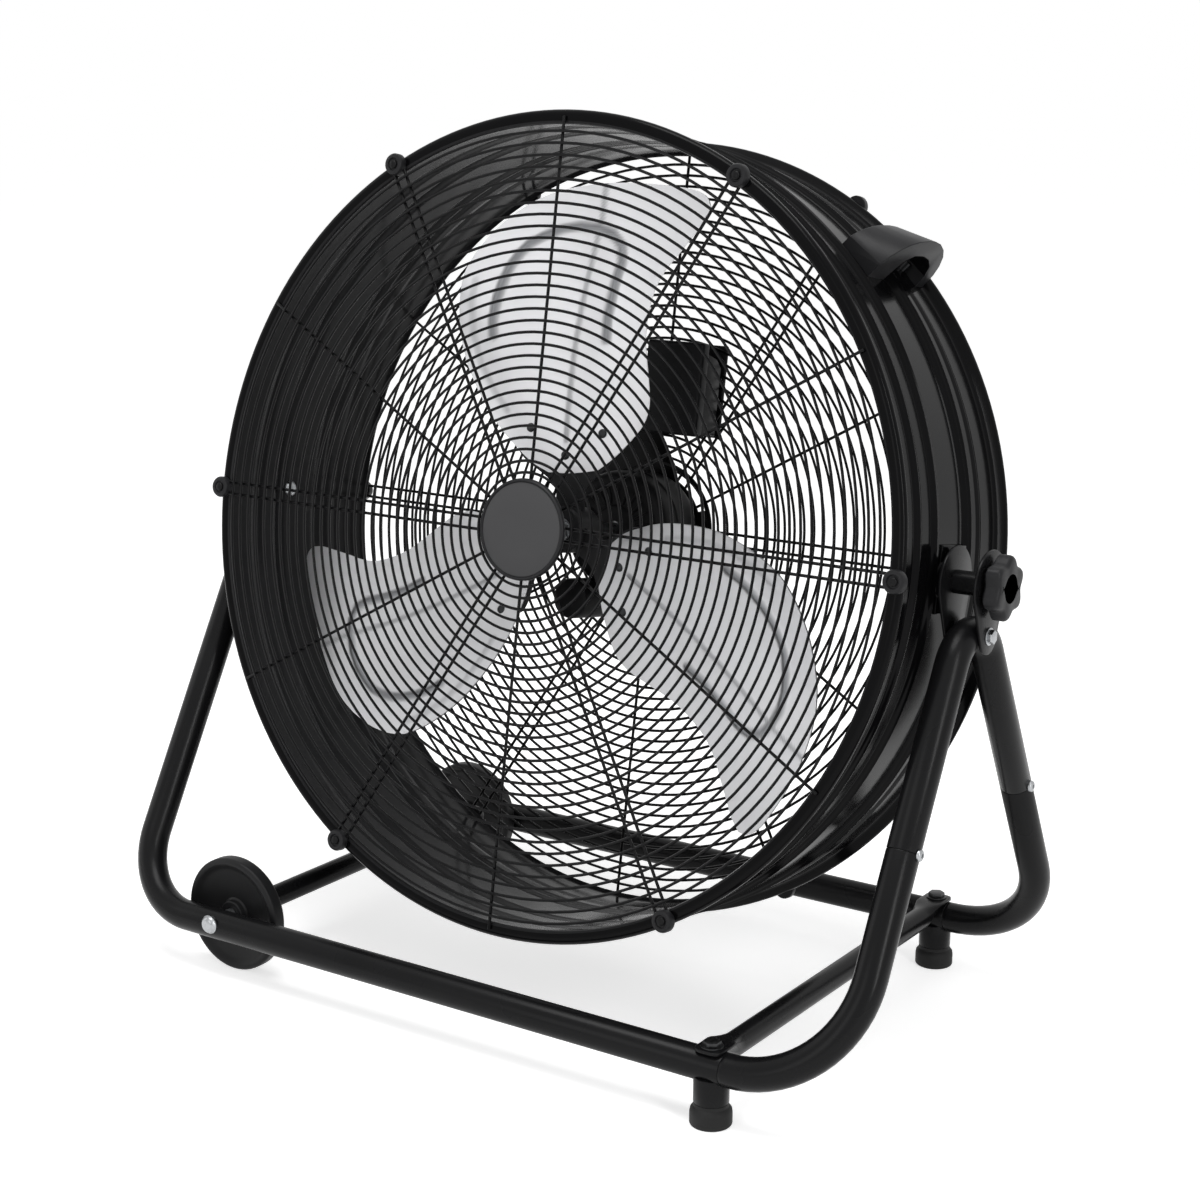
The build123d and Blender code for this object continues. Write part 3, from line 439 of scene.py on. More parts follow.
def tube(shape, start, along, moves):
    """Round tube with closed ends that runs straight and bends; moves are made in turn."""
    along = Vector(along).normalized()
    turn = along.to_track_quat("Z", "Y").to_matrix().to_4x4()
    ring = bmesh.ops.create_circle(shape, cap_ends=False, segments=tube_sides, radius=tube_radius,
                                   matrix=Matrix.Translation(start) @ turn)["verts"]
    edges = list({edge for vert in ring for edge in vert.link_edges})
    ends = [edges]
    for move in moves:
        if move[0] == "straight":
            made = bmesh.ops.extrude_edge_only(shape, edges=edges)["geom"]
            verts = [g for g in made if isinstance(g, bmesh.types.BMVert)]
            bmesh.ops.translate(shape, verts=verts, vec=along * move[1])
        else:
            centre, axis, angle = move[1:]
            ring = list({vert for edge in edges for vert in edge.verts})
            steps = max(4, int(abs(angle) / bend_step))
            made = bmesh.ops.spin(shape, geom=ring + list(edges), cent=centre, axis=axis,
                                  dvec=(0, 0, 0), angle=angle, steps=steps, use_merge=False,
                                  use_duplicate=False)["geom_last"]
            along = Matrix.Rotation(angle, 3, Vector(axis)) @ along
        edges = [g for g in made if isinstance(g, bmesh.types.BMEdge)]
    ends.append(edges)
    for end in ends:
        bmesh.ops.edgeloop_fill(shape, edges=end)
    soften(shape, ends[0] + ends[1], tube_chamfer)


def cylinder(shape, radius, low, high, sides=32, place=in_stand, bevel=0.0):
    """Closed round bar round Y from low to high, with rounded rims."""
    turn = place @ Matrix.Translation((0, (low + high) / 2, 0)) @ along_y
    made = bmesh.ops.create_cone(shape, cap_ends=True, cap_tris=False, segments=sides,
                                 radius1=radius, radius2=radius, depth=high - low, matrix=turn)
    if bevel:
        soften(shape, {edge for vert in made["verts"] for edge in vert.link_edges
                       if any(len(face.verts) == sides for face in edge.link_faces)}, bevel)


def block(shape, low, high, bevel=0.6, segments=2, place=in_stand):
    """Box between two corners, with rounded edges."""
    size = [high[i] - low[i] for i in range(3)]
    middle = [(high[i] + low[i]) / 2 for i in range(3)]
    matrix = place @ Matrix.Translation(middle) @ Matrix.Diagonal((*size, 1))
    made = bmesh.ops.create_cube(shape, size=1.0, matrix=matrix)
    soften(shape, {edge for vert in made["verts"] for edge in vert.link_edges}, bevel, segments)


def thicken(shape, points, vector):
    """Flat face through the points, thickened along a vector; gives the points of both sides."""
    verts = loop(shape, points)[0]
    face = shape.faces.new(verts)
    made = bmesh.ops.extrude_face_region(shape, geom=[face])["geom"]
    top = [g for g in made if isinstance(g, bmesh.types.BMVert)]
    bmesh.ops.translate(shape, verts=top, vec=vector)
    return verts, top


def plate(shape, outline, depth, place=in_stand, bevel=0.5):
    """Flat plate from an outline in XY, thickened along Z, with rounded edges."""
    low, high = thicken(shape, [place @ Vector((x, y, 0)) for x, y in outline],
                        place.to_3x3() @ Vector((0, 0, depth)))
    rims = {edge for vert in low + high for edge in vert.link_edges
            if all(v in low for v in edge.verts) or all(v in high for v in edge.verts)}
    soften(shape, [edge for edge in rims if edge.calc_face_angle(0) > radians(60)], bevel)


# ---------------------------------------------------------------- stand
def loop_point(x, depth, side):
    """Point on the stand's front (side -1) or rear (side 1) loop, at a depth below the pivot."""
    return Vector((x, side * leg_slope * depth, pivot_height - depth))


def base_tube(shape, side, x, seam_depth, bend_radius):
    """Leg below its seam, bend, and rail up to the seam of the rails, in one piece."""
    down = Vector((0, side * leg_slope, -1)).normalized()
    inwards = Vector((1 if x < 0 else -1, 0, 0))
    centre = loop_point(x, rail_depth, side) + (inwards - down) * bend_radius
    leg = (rail_depth - seam_depth) * leg_length - bend_radius
    rail = abs(rail_seam_x - x) - bend_radius
    tube(shape, loop_point(x, seam_depth, side), down,
         [("straight", leg), ("bend", centre, down.cross(inwards), pi / 2), ("straight", rail)])


def v_tube(shape, x, seam_depth):
    """Inverted V that carries a pivot bracket."""
    lean = atan(leg_slope)
    turn = pi - 2 * lean
    reach = apex_bend_radius * tan(turn / 2)
    leg = seam_depth * leg_length - reach
    centre = Vector((x, 0, pivot_height - apex_bend_radius / sin(lean)))
    tube(shape, loop_point(x, seam_depth, -1), (0, leg_slope, 1),
         [("straight", leg), ("bend", centre, Vector((-1, 0, 0)), turn), ("straight", leg)])


def section_loops(shape, sections, sides=40):
    """Bridge rounded cross-sections: centre, half width, half height and squareness of each."""
    loops = []
    for centre, wide, high, square in sections:
        points = []
        for i in range(sides):
            a = 2 * pi * i / sides
            x = wide * abs(cos(a)) ** (2 / square) * (1 if cos(a) >= 0 else -1)
            z = high * abs(sin(a)) ** (2 / square) * (1 if sin(a) >= 0 else -1)
            points.append((centre[0] + x, centre[1], centre[2] + z))
        loops.append(loop(shape, points)[1])
    skin(shape, loops)


def cross_bar(shape):
    """Bar between the rails, its ends pressed flat over the rails."""
    flat = rail_offset_y - tube_radius - 2.0
    neck = flat - 18.0
    end = rail_offset_y + 10.0
    tab = rail_height + tube_radius + 1.25
    half = [(neck, cross_bar_height, cross_bar_radius, cross_bar_radius, 2.0),
            (neck + 4, 51.6, 9.6, 8.6, 2.2), (neck + 9, 54.4, 10.1, 6.0, 2.6),
            (neck + 14, 57.6, 10.8, 3.0, 3.2), (flat, tab - 0.1, 11.4, 1.6, 5.0),
            (flat + 5, tab, 11.5, 1.5, 6.0), (end - 5, tab, 11.5, 1.5, 6.0),
            (end - 1.5, tab, 9.8, 1.5, 6.0), (end, tab, 7.0, 1.2, 4.0)]
    section_loops(shape, [((foot_x, -y, z), *form) for y, z, *form in reversed(half)]
                  + [((foot_x, y, z), *form) for y, z, *form in half])


def foot_sleeves(shape):
    """Sleeves between the rails and the rubber feet."""
    top = rail_height - tube_radius * 0.8
    for side in (-1, 1):
        cylinder(shape, sleeve_radius, foot_height, top + 3.0, 40, at_foot(side), 0.8)


def rubber_feet(shape):
    """Rubber feet, waisted under the sleeve."""
    r = foot_radius
    profile = [(0, 0), (r - 2.0, 0), *arc((r - 2.0, 2.0), 2.0, -90, 0, 5),
               (r, 10.0), (r - 0.4, 12.5), (r - 1.6, 14.0),
               (r - 2.6, 15.0), (r - 2.8, foot_height - 0.6),
               (r - 3.4, foot_height), (0, foot_height)]
    for side in (-1, 1):
        revolve(shape, profile, 48, at_foot(side))


def wheel(shape, side):
    """Dished disc wheel with a round tread and a hub, its dish facing outwards."""
    r = wheel_radius
    half = wheel_width / 2
    inner = half - wheel_hub_length
    profile = [(axle_radius + 0.1, half - 0.6), (axle_radius + 0.7, half), (11.2, half),
               (12.0, half - 0.8), (12.4, 2.4), (14.0, 1.2), (r - 11.0, 3.2),
               (r - 8.5, 4.2), (r - 6.0, half - 0.8),
               (r - 4.6, half), *arc((r - 3.4, half - 3.4), 3.4, 90, 0, 6),
               *arc((r - 3.4, 3.4 - half), 3.4, 0, -90, 6), (r - 4.6, -half),
               (r - 6.0, 0.8 - half), (r - 8.5, -1.2),
               (r - 11.0, -0.6), (14.0, -2.8), (12.4, -4.0), (12.0, inner + 0.8),
               (11.2, inner), (axle_radius + 0.7, inner), (axle_radius + 0.1, inner + 0.6)]
    place = Matrix.Translation((wheel_place.x, side * wheel_place.y, wheel_place.z))
    revolve(shape, profile, 72, place @ facing(side))


def axle_tube(shape):
    """Tube round the axle that keeps the wheels apart."""
    reach = wheel_place.y + wheel_width / 2 - wheel_hub_length - 0.3
    cylinder(shape, cross_bar_radius, -reach, reach, 40,
             Matrix.Translation((wheel_place.x, 0, wheel_place.z)), 0.6)


# ---------------------------------------------------------------- drum
def bead_rise(y):
    """How far the drum's skin stands out at a place along the fan axis, through its beads."""
    depth = y - drum_front
    rise = 0.0
    for crest, front, back, height in drum_beads:
        share = (crest - depth) / front if depth < crest else (depth - crest) / back
        if share < 1.0:
            rise = max(rise, height * (1.0 - share) - 0.12 * height * sin(2 * pi * share) / 2)
    return rise


def drum_shell(shape):
    """Rolled drum with a curled rim at each end and raised beads."""
    front, back, count = drum_front + rim_length, drum_back - rim_length, 208
    lip, curl = rim_inner_radius, rim_curl_radius
    places = [front + (back - front) * i / count for i in range(count + 1)]
    outer = [(shell_radius + bead_rise(y), y) for y in places]
    inner = [(shell_radius - shell_wall + 0.5 * bead_rise(y), y) for y in reversed(places)]
    rim_front = [(lip + 2.4, drum_front + 6.5), (lip + 0.6, drum_front + curl),
                 (lip, drum_front + 2.8), (lip + 0.7, drum_front + 1.0),
                 (lip + 2.4, drum_front + 0.2),
                 *arc((rim_radius - curl, drum_front + curl), curl, -90, 40, 13),
                 (shell_radius + 2.4, drum_front + 11.0), (shell_radius + 0.7, drum_front + 12.8)]
    rim_back = [(r, drum_front + drum_back - y) for r, y in reversed(rim_front)]
    revolve(shape, rim_front + outer + rim_back + inner, 180)


def guard_rings(shape, seat, outward):
    """Concentric wires, welded to the outer side of the radial wires."""
    sides = 8
    middle = seat + outward * wire_depth + outward * (wire_radius - 0.2)
    for index in range(ring_count):
        radius = ring_first_radius + index * ring_pitch
        section = arc((radius, middle), wire_radius, 0, 360 - 360 / sides, sides - 1)
        ring = bmesh.new()
        revolve(ring, section, 72 if radius < 110 else 120)
        add(shape, ring, in_stand)


def guard_spokes(shape, seat, outward):
    """Radial wires on the rim: pairs to the clips and single ones between them."""
    middle = seat + outward * wire_depth / 2
    inner = ring_first_radius - 2.0
    for i in range(2 * clip_count):
        paired = i % 2 == 0
        reach = clip_circle_radius if paired else single_spoke_reach
        for offset in (-spoke_pair_gap / 2, spoke_pair_gap / 2) if paired else (0.0,):
            place = around(180.0 / clip_count * i) @ Matrix.Translation((0, middle, offset))
            turn = place @ Matrix.Rotation(-pi / 2, 4, "Z")
            cylinder(shape, wire_depth / 2, inner, reach, 10, turn, 0.5)


def on_clips(shape, profile, steps, seat, outward):
    """Turn a profile at the place of every clip on a rim."""
    for i in range(clip_count):
        place = around(360.0 / clip_count * i, clip_circle_radius, seat)
        revolve(shape, profile, steps, place @ facing(outward, "X"))


def guard_clips(shape, seat, outward):
    """Round clips that hold the wire pairs to the rim, each with a dished face."""
    r, top = clip_radius, clip_height
    on_clips(shape, [(0, 0), (r - 0.4, 0), (r, 0.5), (r, top - 2.0), (r - 0.7, top - 0.6),
                     (r - 2.0, top), (r - 3.6, top), (r - 4.4, top - 1.2), (0, top - 1.2)],
             32, seat, outward)


def clip_screws(shape, seat, outward):
    """Pan-head screws in the clips."""
    top = clip_height
    on_clips(shape, [(0, top - 2.0), (3.6, top - 2.0), (3.6, top - 0.4), (3.2, top + 0.4),
                     (2.2, top + 0.9), (0, top + 1.1)], 24, seat, outward)


def front_badge(shape):
    """Disc with a raised lip over the middle of the front guard."""
    r, front = badge_radius, badge_front
    revolve(shape, [(0, badge_back), (r - 0.6, badge_back), (r, badge_back - 0.8), (r, front + 1.8),
                    (r - 0.5, front + 0.6), (r - 1.5, front), (r - 2.4, front + 0.2),
                    (r - 3.0, front + 1.2), (0, front + 1.2)], 96)


def badge_face(shape):
    """Bare inlay inside the lip of the badge, a little crowned."""
    edge, front = badge_radius - 3.2, badge_front
    revolve(shape, [(0, front + 1.4), (edge, front + 1.4), (edge, front + 1.0),
                    (edge - 0.6, front + 0.7), (edge * 0.6, front + 0.45), (0, front + 0.3)], 96)


# ---------------------------------------------------------------- rotor
def through(points, count):
    """Points evenly spread on a smooth line through the given ones."""
    points = [Vector(point) for point in points]
    steps = [(b - a).length for a, b in zip(points, points[1:])]
    total = sum(steps)
    made = []
    for i in range(count + 1):
        want = total * i / count
        k = 0
        while k < len(steps) - 1 and want > steps[k]:
            want -= steps[k]
            k += 1
        t = min(1.0, want / steps[k])
        before = points[max(k - 1, 0)]
        after = points[min(k + 2, len(points) - 1)]
        low, high = points[k], points[k + 1]
        pull_low = (high - before) / (1 + (k > 0))
        pull_high = (after - low) / (1 + (k < len(points) - 2))
        made.append(low * (2 * t ** 3 - 3 * t ** 2 + 1) + pull_low * (t ** 3 - 2 * t ** 2 + t)
                    + high * (3 * t ** 2 - 2 * t ** 3) + pull_high * (t ** 3 - t ** 2))
    return made


# A blade's edges, its pressed lines and a line of painted spoke shadow, as its across and outward
# places from the fan axis.
root_edge = [(-19, 45), (1, 46), (22, 50)]
left_edge = [(-19, 45), (-33, 52), (-46, 63), (-60, 77), (-72, 93), (-82.5, 111), (-91, 130),
             (-96.5, 150), (-99, 170), (-99, 186), (-97, 200), (-91, 214), (-82, 228), (-71, 241),
             (-57, 253.5)]
right_edge = [(22, 50), (36, 62), (50, 78), (59, 92), (62, 107), (60, 125), (57, 143), (55, 160),
              (56, 178), (60, 197), (68, 213), (79, 227), (89, 240), (98, 252), (103, 263)]
tip_edge = [(-57, 253.5), (-41, 264), (-22, 272), (0, 277), (20, 279.5), (44, 280), (66, 279),
            (87, 276.5), (99, 271), (103, 263)]
arch_rib = [(-71, 152), (-72, 166), (-70, 181), (-66, 196), (-61, 208), (-54, 219), (-46, 228),
            (-34, 235), (-20, 241), (-5, 244), (10, 243), (22, 239), (30, 230), (31, 218),
            (27, 203), (24, 187), (22, 173), (22, 155)]
# The shadow of the front guard's spoke on the blade, drawn as a low ridge darkened with painted
# shadow.
spoke_shadow_line = [(14, 279), (12, 250), (6, 218), (0, 182), (-4, 145), (-5, 121), (-6, 97),
                 (-6, 72)]
edge_crease = [(-88, 196), (-90, 178), (-87, 152), (-79, 128), (-68, 108), (-56, 92)]


# Each line raised on a blade, with its half width, its height and how far painted shade darkens it.
blade_beads = ((arch_rib, 4.5, 1.8, 0.85), (spoke_shadow_line, 2.6, 0.7, 0.6),
               (edge_crease, 3.5, 0.5, 0.28))


def distance_to(line, x, z):
    """Distance from a point to a line of points."""
    nearest = 1e9
    for (ax, az), (bx, bz) in zip(line, line[1:]):
        length = (bx - ax) ** 2 + (bz - az) ** 2
        along = max(0.0, min(1.0, ((x - ax) * (bx - ax) + (z - az) * (bz - az)) / length))
        nearest = min(nearest, hypot(x - ax - along * (bx - ax), z - az - along * (bz - az)))
    return nearest


def pressing_and_shade(x, z):
    """Height of the pressed lines at a place on a blade, and how much painted shade darkens them
    there.
    """
    height = painted_shade = 0.0
    for line, width, rise, grey in blade_beads:
        share = min(1.0, distance_to(line, x, z) / width)
        height = max(height, rise * (0.5 + 0.5 * cos(pi * share)))
        painted_shade = max(painted_shade, grey * (1 - share ** 2))
    return height, painted_shade


def blade_surface(x, z):
    """Axial place of a blade's front face."""
    camber = blade_bow * (x / blade_half_chord) ** 2
    return camber + blade_pitch * x + blade_set + blade_rake * (z - blade_reach)


def blade_turn(index):
    """Turns a blade made upright to its place round the hub."""
    return Matrix.Rotation(radians(90.0 - blade_angle - 120.0 * index), 4, "Y")


def pressed_sheet(shape, columns, rows, front, thickness):
    """Sheet drawn as a grid; front gives its front face's point for shares across and up."""
    bmesh.ops.create_grid(shape, x_segments=columns, y_segments=rows, size=0.5)
    for vert in shape.verts:
        vert.co = front(vert.co.x + 0.5, vert.co.y + 0.5)
    bmesh.ops.recalc_face_normals(shape, faces=shape.faces)
    faces = list(shape.faces)
    if faces[0].normal.y < 0:
        bmesh.ops.reverse_faces(shape, faces=faces)
    bmesh.ops.solidify(shape, geom=faces, thickness=-thickness)


def blade(shape):
    """Pressed blade: a grid drawn to its outline, bent to the camber, with its pressed lines and
    their painted shade.
    """
    columns, rows = 84, 120
    root, tip = through(root_edge, columns), through(tip_edge, columns)
    left, right = through(left_edge, rows), through(right_edge, rows)

    def front(u, v):
        i, j = round(u * columns), round(v * rows)
        flat = (root[i] * (1 - v) + tip[i] * v + left[j] * (1 - u) + right[j] * u
                - root[0] * (1 - u) * (1 - v) - root[-1] * u * (1 - v)
                - tip[0] * (1 - u) * v - tip[-1] * u * v)
        return flat.x, blade_surface(flat.x, flat.y) - pressing_and_shade(flat.x, flat.y)[0], flat.y

    pressed_sheet(shape, columns, rows, front, blade_thickness)
    # Each vertex keeps how much painted shade greys it, in the "pressed" layer.
    painted_shade_layer = shape.verts.layers.float.new("pressed")
    for vert in shape.verts:
        vert[painted_shade_layer] = pressing_and_shade(vert.co.x, vert.co.z)[1]


def blade_rivets(shape):
    """Round-headed rivets at the blade roots, through the blades and the hub's arms."""
    profile = [(0, -2.2), (2.0, -1.9), (3.4, -0.9), (3.9, 0.2), (3.4, 0.8), (3.4, 5.2), (2.6, 5.8),
               (0, 5.8)]
    for index in range(3):
        for x, z in rivet_places:
            place = blade_turn(index) @ Matrix.Translation((x, blade_surface(x, z), z))
            revolve(shape, profile, 20, place)


def hub_arm(u, v):
    """Front point of a hub arm for shares across and out: it follows the back of its blade."""
    u = 2 * u - 1
    spread = 0.5 - 0.5 * cos(pi * min(1.0, max(0.0, (v - 0.2) / 0.45)))
    half = (12.0 + 27.0 * spread) * (1.0 - 0.22 * max(0.0, (v - 0.75) / 0.25) ** 2)
    x, z = u * half - 6.0 * spread, 14.0 + 79.0 * v - 6.0 * u * u * v * v
    return x, blade_surface(x, z) + blade_thickness - 0.05, z


def fan_hub(shape):
    """Boss on the shaft with three pressed arms that follow the backs of the blades."""
    bore, r, front, back = shaft_radius + 0.1, hub_radius, hub_front, hub_front + hub_length
    revolve(shape, [(bore, front + 0.6), (bore + 0.6, front), (r - 1.4, front), (r, front + 1.4),
                    (r, back - 1.4), (r - 1.4, back), (bore + 0.6, back), (bore, back - 0.6)], 64)
    arm = bmesh.new()
    pressed_sheet(arm, 28, 28, hub_arm, hub_arm_thickness)
    add(shape, arm, *[blade_turn(index) for index in range(3)])


def hub_nut(shape):
    """Nut on the end of the shaft, with its washer face and chamfered corners."""
    cylinder(shape, 9.2, hub_front - 5.0, hub_front - 0.9, 6, in_stand, 0.5)
    cylinder(shape, 9.4, hub_front - 1.0, hub_front + 0.3, 40, in_stand, 0.2)


# ---------------------------------------------------------------- knobs, handle, brackets
def tilt_knob(shape):
    """Star knob: round lobes, crowned face and a sunk middle, growing along Z."""
    steps, top = 120, knob_thickness
    mean = (knob_radius + knob_valley_radius) / 2
    swing = (knob_radius - knob_valley_radius) / 2

    def ring(height, radius, lobe, inset):
        turns = [2 * pi * i / steps for i in range(steps)]
        reach = [radius + lobe * cos(knob_lobes * a) - inset for a in turns]
        return loop(shape, [(r * cos(a), r * sin(a), height) for r, a in zip(reach, turns)])[1]

    levels = [(0.0, 5.0), (0.4, 3.6), (2.0, 3.0), (2.0, 0.8), (2.8, 0.0), (top - 3.4, 0.0),
              (top - 1.8, 0.5), (top - 0.6, 1.7), (top, 3.6)]
    middle = [(top, 11.0), (top - 0.4, 10.0), (top - 4.0, 9.5)]
    skin(shape, [ring(height, mean, swing, inset) for height, inset in levels]
         + [ring(height, radius, 0.0, 0.0) for height, radius in middle])


def handle(shape):
    """Moulded arch along the drum, its grip sloping across, with a hand gap under it."""
    outline = [(0, -1.5), (0, 13), (4, 22), (10, 30), (17, 36), (26, 40.5), (38, 43.4), (48, 44),
               (58, 42.8), (70, 38.5), (80, 32), (88, 23), (93, 13), (94, 5), (94, -1.5),
               (82, -1.5), (80, 11), (73, 20), (62, 26), (50, 28), (38, 26.5), (30, 20), (27, 9),
               (26, -1.5)]
    thicken(shape, [(shell_radius + rise, y, -handle_width / 2) for y, rise in outline],
            (0, 0, handle_width))
    soften(shape, [edge for edge in shape.edges
                   if abs(edge.verts[0].co.z - edge.verts[1].co.z) < 1e-6
                   and min(edge.verts[0].co.x, edge.verts[1].co.x) > shell_radius], 4.0, 4)
    for vert in shape.verts:
        rise = vert.co.x - shell_radius
        if rise > 0:
            vert.co.x -= rise * (0.2 + 0.012 * vert.co.z)
            vert.co.y += (0.22 * (vert.co.z + handle_width / 2)
                          * max(0.0, vert.co.y - 40.0) / 54.0)


def bracket_plates(shape):
    """Plates at each side of the bent tubes, round about the pivot and narrow at the bolt."""
    lean = degrees(atan((plate_top_radius - plate_foot_radius) / bracket_bolt_depth))
    outline = arc((0, 0), plate_top_radius, -lean, 180 + lean, 30)
    outline += arc((0, -bracket_bolt_depth), plate_foot_radius, 180 + lean, 360 - lean, 20)
    for side in (-1, 1):
        for face in (inner_plate_face, outer_plate_face - plate_thickness):
            low = face if side > 0 else -face - plate_thickness
            part = bmesh.new()
            plate(part, outline, plate_thickness, bevel=0.7)
            add(shape, part, Matrix.Translation((low, 0, pivot_height)) @ across)


def along_x(side):
    """Turns a shape made along Y so that its end points outwards along X."""
    return Matrix.Rotation(-side * pi / 2, 4, "Z")


def at_pivot(side, down=0.0):
    """Place on the pivot's axis, or below it, with Y pointing outwards."""
    return Matrix.Translation((0, 0, pivot_height - down)) @ along_x(side)


def bracket_bolts(shape):
    """Hexagon bolts with a flange through the brackets and the bent tubes."""
    for side in (-1, 1):
        place = at_pivot(side, bracket_bolt_depth)
        cylinder(shape, 6.8, outer_plate_face, outer_plate_face + 1.0, 40, place, 0.4)
        cylinder(shape, 5.6, outer_plate_face + 0.8, outer_plate_face + 4.6, 6, place, 0.7)
        cylinder(shape, 4.0, inner_plate_face, outer_plate_face, 20, place)
        cylinder(shape, 7.0, inner_plate_face - 1.6, inner_plate_face, 6, place, 0.4)


def pivot_bolts(shape):
    """Round-headed bolts from inside the drum out to the knobs."""
    r, bore = pivot_bolt_radius, shell_radius - shell_wall
    tip = knob_back_face + knob_thickness - 5.0
    for side in (-1, 1):
        revolve(shape, [(0, bore - 4.2), (3.0, bore - 3.9), (5.2, bore - 2.9), (6.8, bore - 1.2),
                        (7.0, bore + 0.1), (r, bore + 0.1), (r, tip - 0.6), (r - 0.6, tip),
                        (0, tip)], 40, along_x(side))


def pivot_washers(shape):
    """Washers between the outer bracket plates and the knobs."""
    low, high = outer_plate_face, outer_plate_face + 1.5
    for side in (-1, 1):
        revolve(shape, [(pivot_bore_radius, low), (10.6, low), (11.0, low + 0.4),
                        (11.0, high - 0.4), (10.6, high), (pivot_bore_radius, high)], 48,
                at_pivot(side))


def bracket_spacers(shape):
    """Short tubes between the bracket plates, round the pivot bolts."""
    low, high = inner_plate_face + plate_thickness, outer_plate_face - plate_thickness
    for side in (-1, 1):
        revolve(shape, [(pivot_bore_radius, low), (9.0, low), (9.0, high),
                        (pivot_bore_radius, high)], 48, at_pivot(side))


def pivot_pads(shape):
    """Pressed pads on the drum, each with a round boss that runs on its bracket."""
    tip = inner_plate_face - 0.3
    for side in (-1, 1):
        x = sorted((side * (shell_radius - 1.0), side * pad_face))
        block(shape, (x[0], pad_middle - pad_length / 2, -pad_height / 2),
              (x[1], pad_middle + pad_length / 2, pad_height / 2), 1.6, 3)
        revolve(shape, [(0, pad_face - 1.0), (16.0, pad_face - 1.0), (15.2, pad_face + 0.8),
                        (14.0, pad_face + 2.0), (14.0, tip - 0.6), (13.4, tip), (0, tip)], 48,
                along_x(side))


def pan_head(shape, radius, height, place, shank=0.0):
    """Pan-head screw with a sunk middle; its head starts at the origin and stands out along Y."""
    profile = [(0, -shank), (radius * 0.5, -shank), (radius * 0.5, 0), (radius, 0),
               (radius, height * 0.4), (radius * 0.92, height * 0.72),
               (radius * 0.7, height * 0.93), (radius * 0.4, height),
               (radius * 0.34, height * 0.55), (0, height * 0.5)]
    revolve(shape, [point for point in profile if shank or point[1] >= 0], 24, place)


def handle_screws(shape):
    """Pan-head screws from inside the drum into the handle's feet."""
    for y in handle_screw_places:
        place = around(handle_angle, shell_radius - shell_wall, y)
        pan_head(shape, 5.0, 3.0, place @ Matrix.Rotation(pi / 2, 4, "Z"), 9.0)


def pad_rivets(shape):
    """Rivets through the pads and the drum, painted over with it."""
    y = pad_middle + pad_length / 2 - 8.0
    for side in (-1, 1):
        for z in (-17.0, 17.0):
            place = Matrix.Translation((0, y, z)) @ along_x(side)
            revolve(shape, [(0, shell_radius - 2.4), (3.2, shell_radius - 2.0),
                            (4.0, shell_radius - 1.0), (4.0, pad_face), (3.4, pad_face + 1.1),
                            (0, pad_face + 1.6)], 24, place)


def seam_screws(shape):
    """Screws at the seams of the right legs, on the outer side."""
    for side in (-1, 1):
        place = Matrix.Translation(loop_point(tube_offset_x, right_seam_depth, side)) @ along_x(1)
        pan_head(shape, 4.5, 2.8, place @ Matrix.Translation((0, tube_radius - 0.3, 0)), 4.0)


def axle_cap_nuts(shape):
    """Domed nuts on the axle's ends, on the outer side of the base tubes."""
    low = rail_offset_y + tube_radius - 1.0
    place = Matrix.Translation((wheel_place.x, 0, wheel_place.z))
    for side in (-1, 1):
        revolve(shape, [(0, low), (8.0, low), (8.0, low + 1.2), (7.6, low + 1.6), (7.2, low + 2.2),
                        (6.6, low + 3.4), (5.2, low + 4.4), (3.0, low + 4.9), (0, low + 5.0)], 40,
                place @ facing(side))


def foot_bolts(shape):
    """Hexagon bolts down through the cross bar's ends and the rails into the feet."""
    top = rail_height + tube_radius + 2.75
    for side in (-1, 1):
        place = at_foot(side)
        cylinder(shape, 8.6, top, top + 1.0, 32, place, 0.3)
        cylinder(shape, 7.0, top + 0.9, top + 4.6, 6, place, 0.6)
        cylinder(shape, 3.0, foot_height - 2.0, top + 0.2, 16, place)


# ---------------------------------------------------------------- motor and control box
def motor_half(shape, closed, rim, inward):
    """Half of the cast motor housing, with a stepped boss, a dished end, ribs and a rim."""
    rib_count = 24
    wall = motor_radius - 3.0
    outer = [(7.5, 0.0), (18.0, 0.0), (20.0, 0.8), (21.0, 2.4), (28.0, 3.2), (35.0, 2.2),
             (38.0, 0.8), (40.0, 0.2), (43.0, 0.5), (46.0, 1.9), (48.2, 4.2), (49.5, 7.2),
             (motor_radius, 10.5)]
    inner = [(wall, 10.0), (18.0, 6.0), (18.0, 12.0), (7.5, 12.0)]
    revolve(shape, [(r, closed + inward * y) for r, y in outer]
            + [(motor_radius, rim - inward * 4.0), (motor_radius + 1.2, rim - inward * 3.2),
               (motor_radius + 1.2, rim), (wall, rim)]
            + [(r, closed + inward * y) for r, y in inner], 72)
    ends = sorted((closed + inward * 1.4, closed + inward * 5.0))
    for i in range(rib_count):
        block(shape, (22.0, ends[0], -0.9), (37.5, ends[1], 0.9), 0.5, 1,
              Matrix.Rotation(2 * pi * i / rib_count, 4, "Y"))


def stator(shape):
    """Laminated stack inside the housing, with its windings standing out at both ends."""
    middle = (motor_front + motor_back) / 2
    side = [(37.5, -14.0), (44.0, -14.0), (44.0, -9.0), (motor_radius - 3.4, -9.0)]
    revolve(shape, [(r, middle + y) for r, y in side]
            + [(r, middle - y) for r, y in reversed(side)], 64)


def run_capacitor(shape):
    """Capacitor can with a crimped end, held against the side of the motor."""
    r, high = capacitor_radius, motor_back - 2.0
    low = high - capacitor_length
    revolve(shape, [(0, low), (r - 2.6, low), (r - 0.8, low + 0.7), (r, low + 2.6), (r, high - 5.0),
                    (r - 0.9, high - 4.0), (r - 0.9, high - 2.6), (r, high - 1.6), (r - 0.4, high),
                    (0, high)], 56, around(capacitor_angle, motor_radius + r - 1.2))


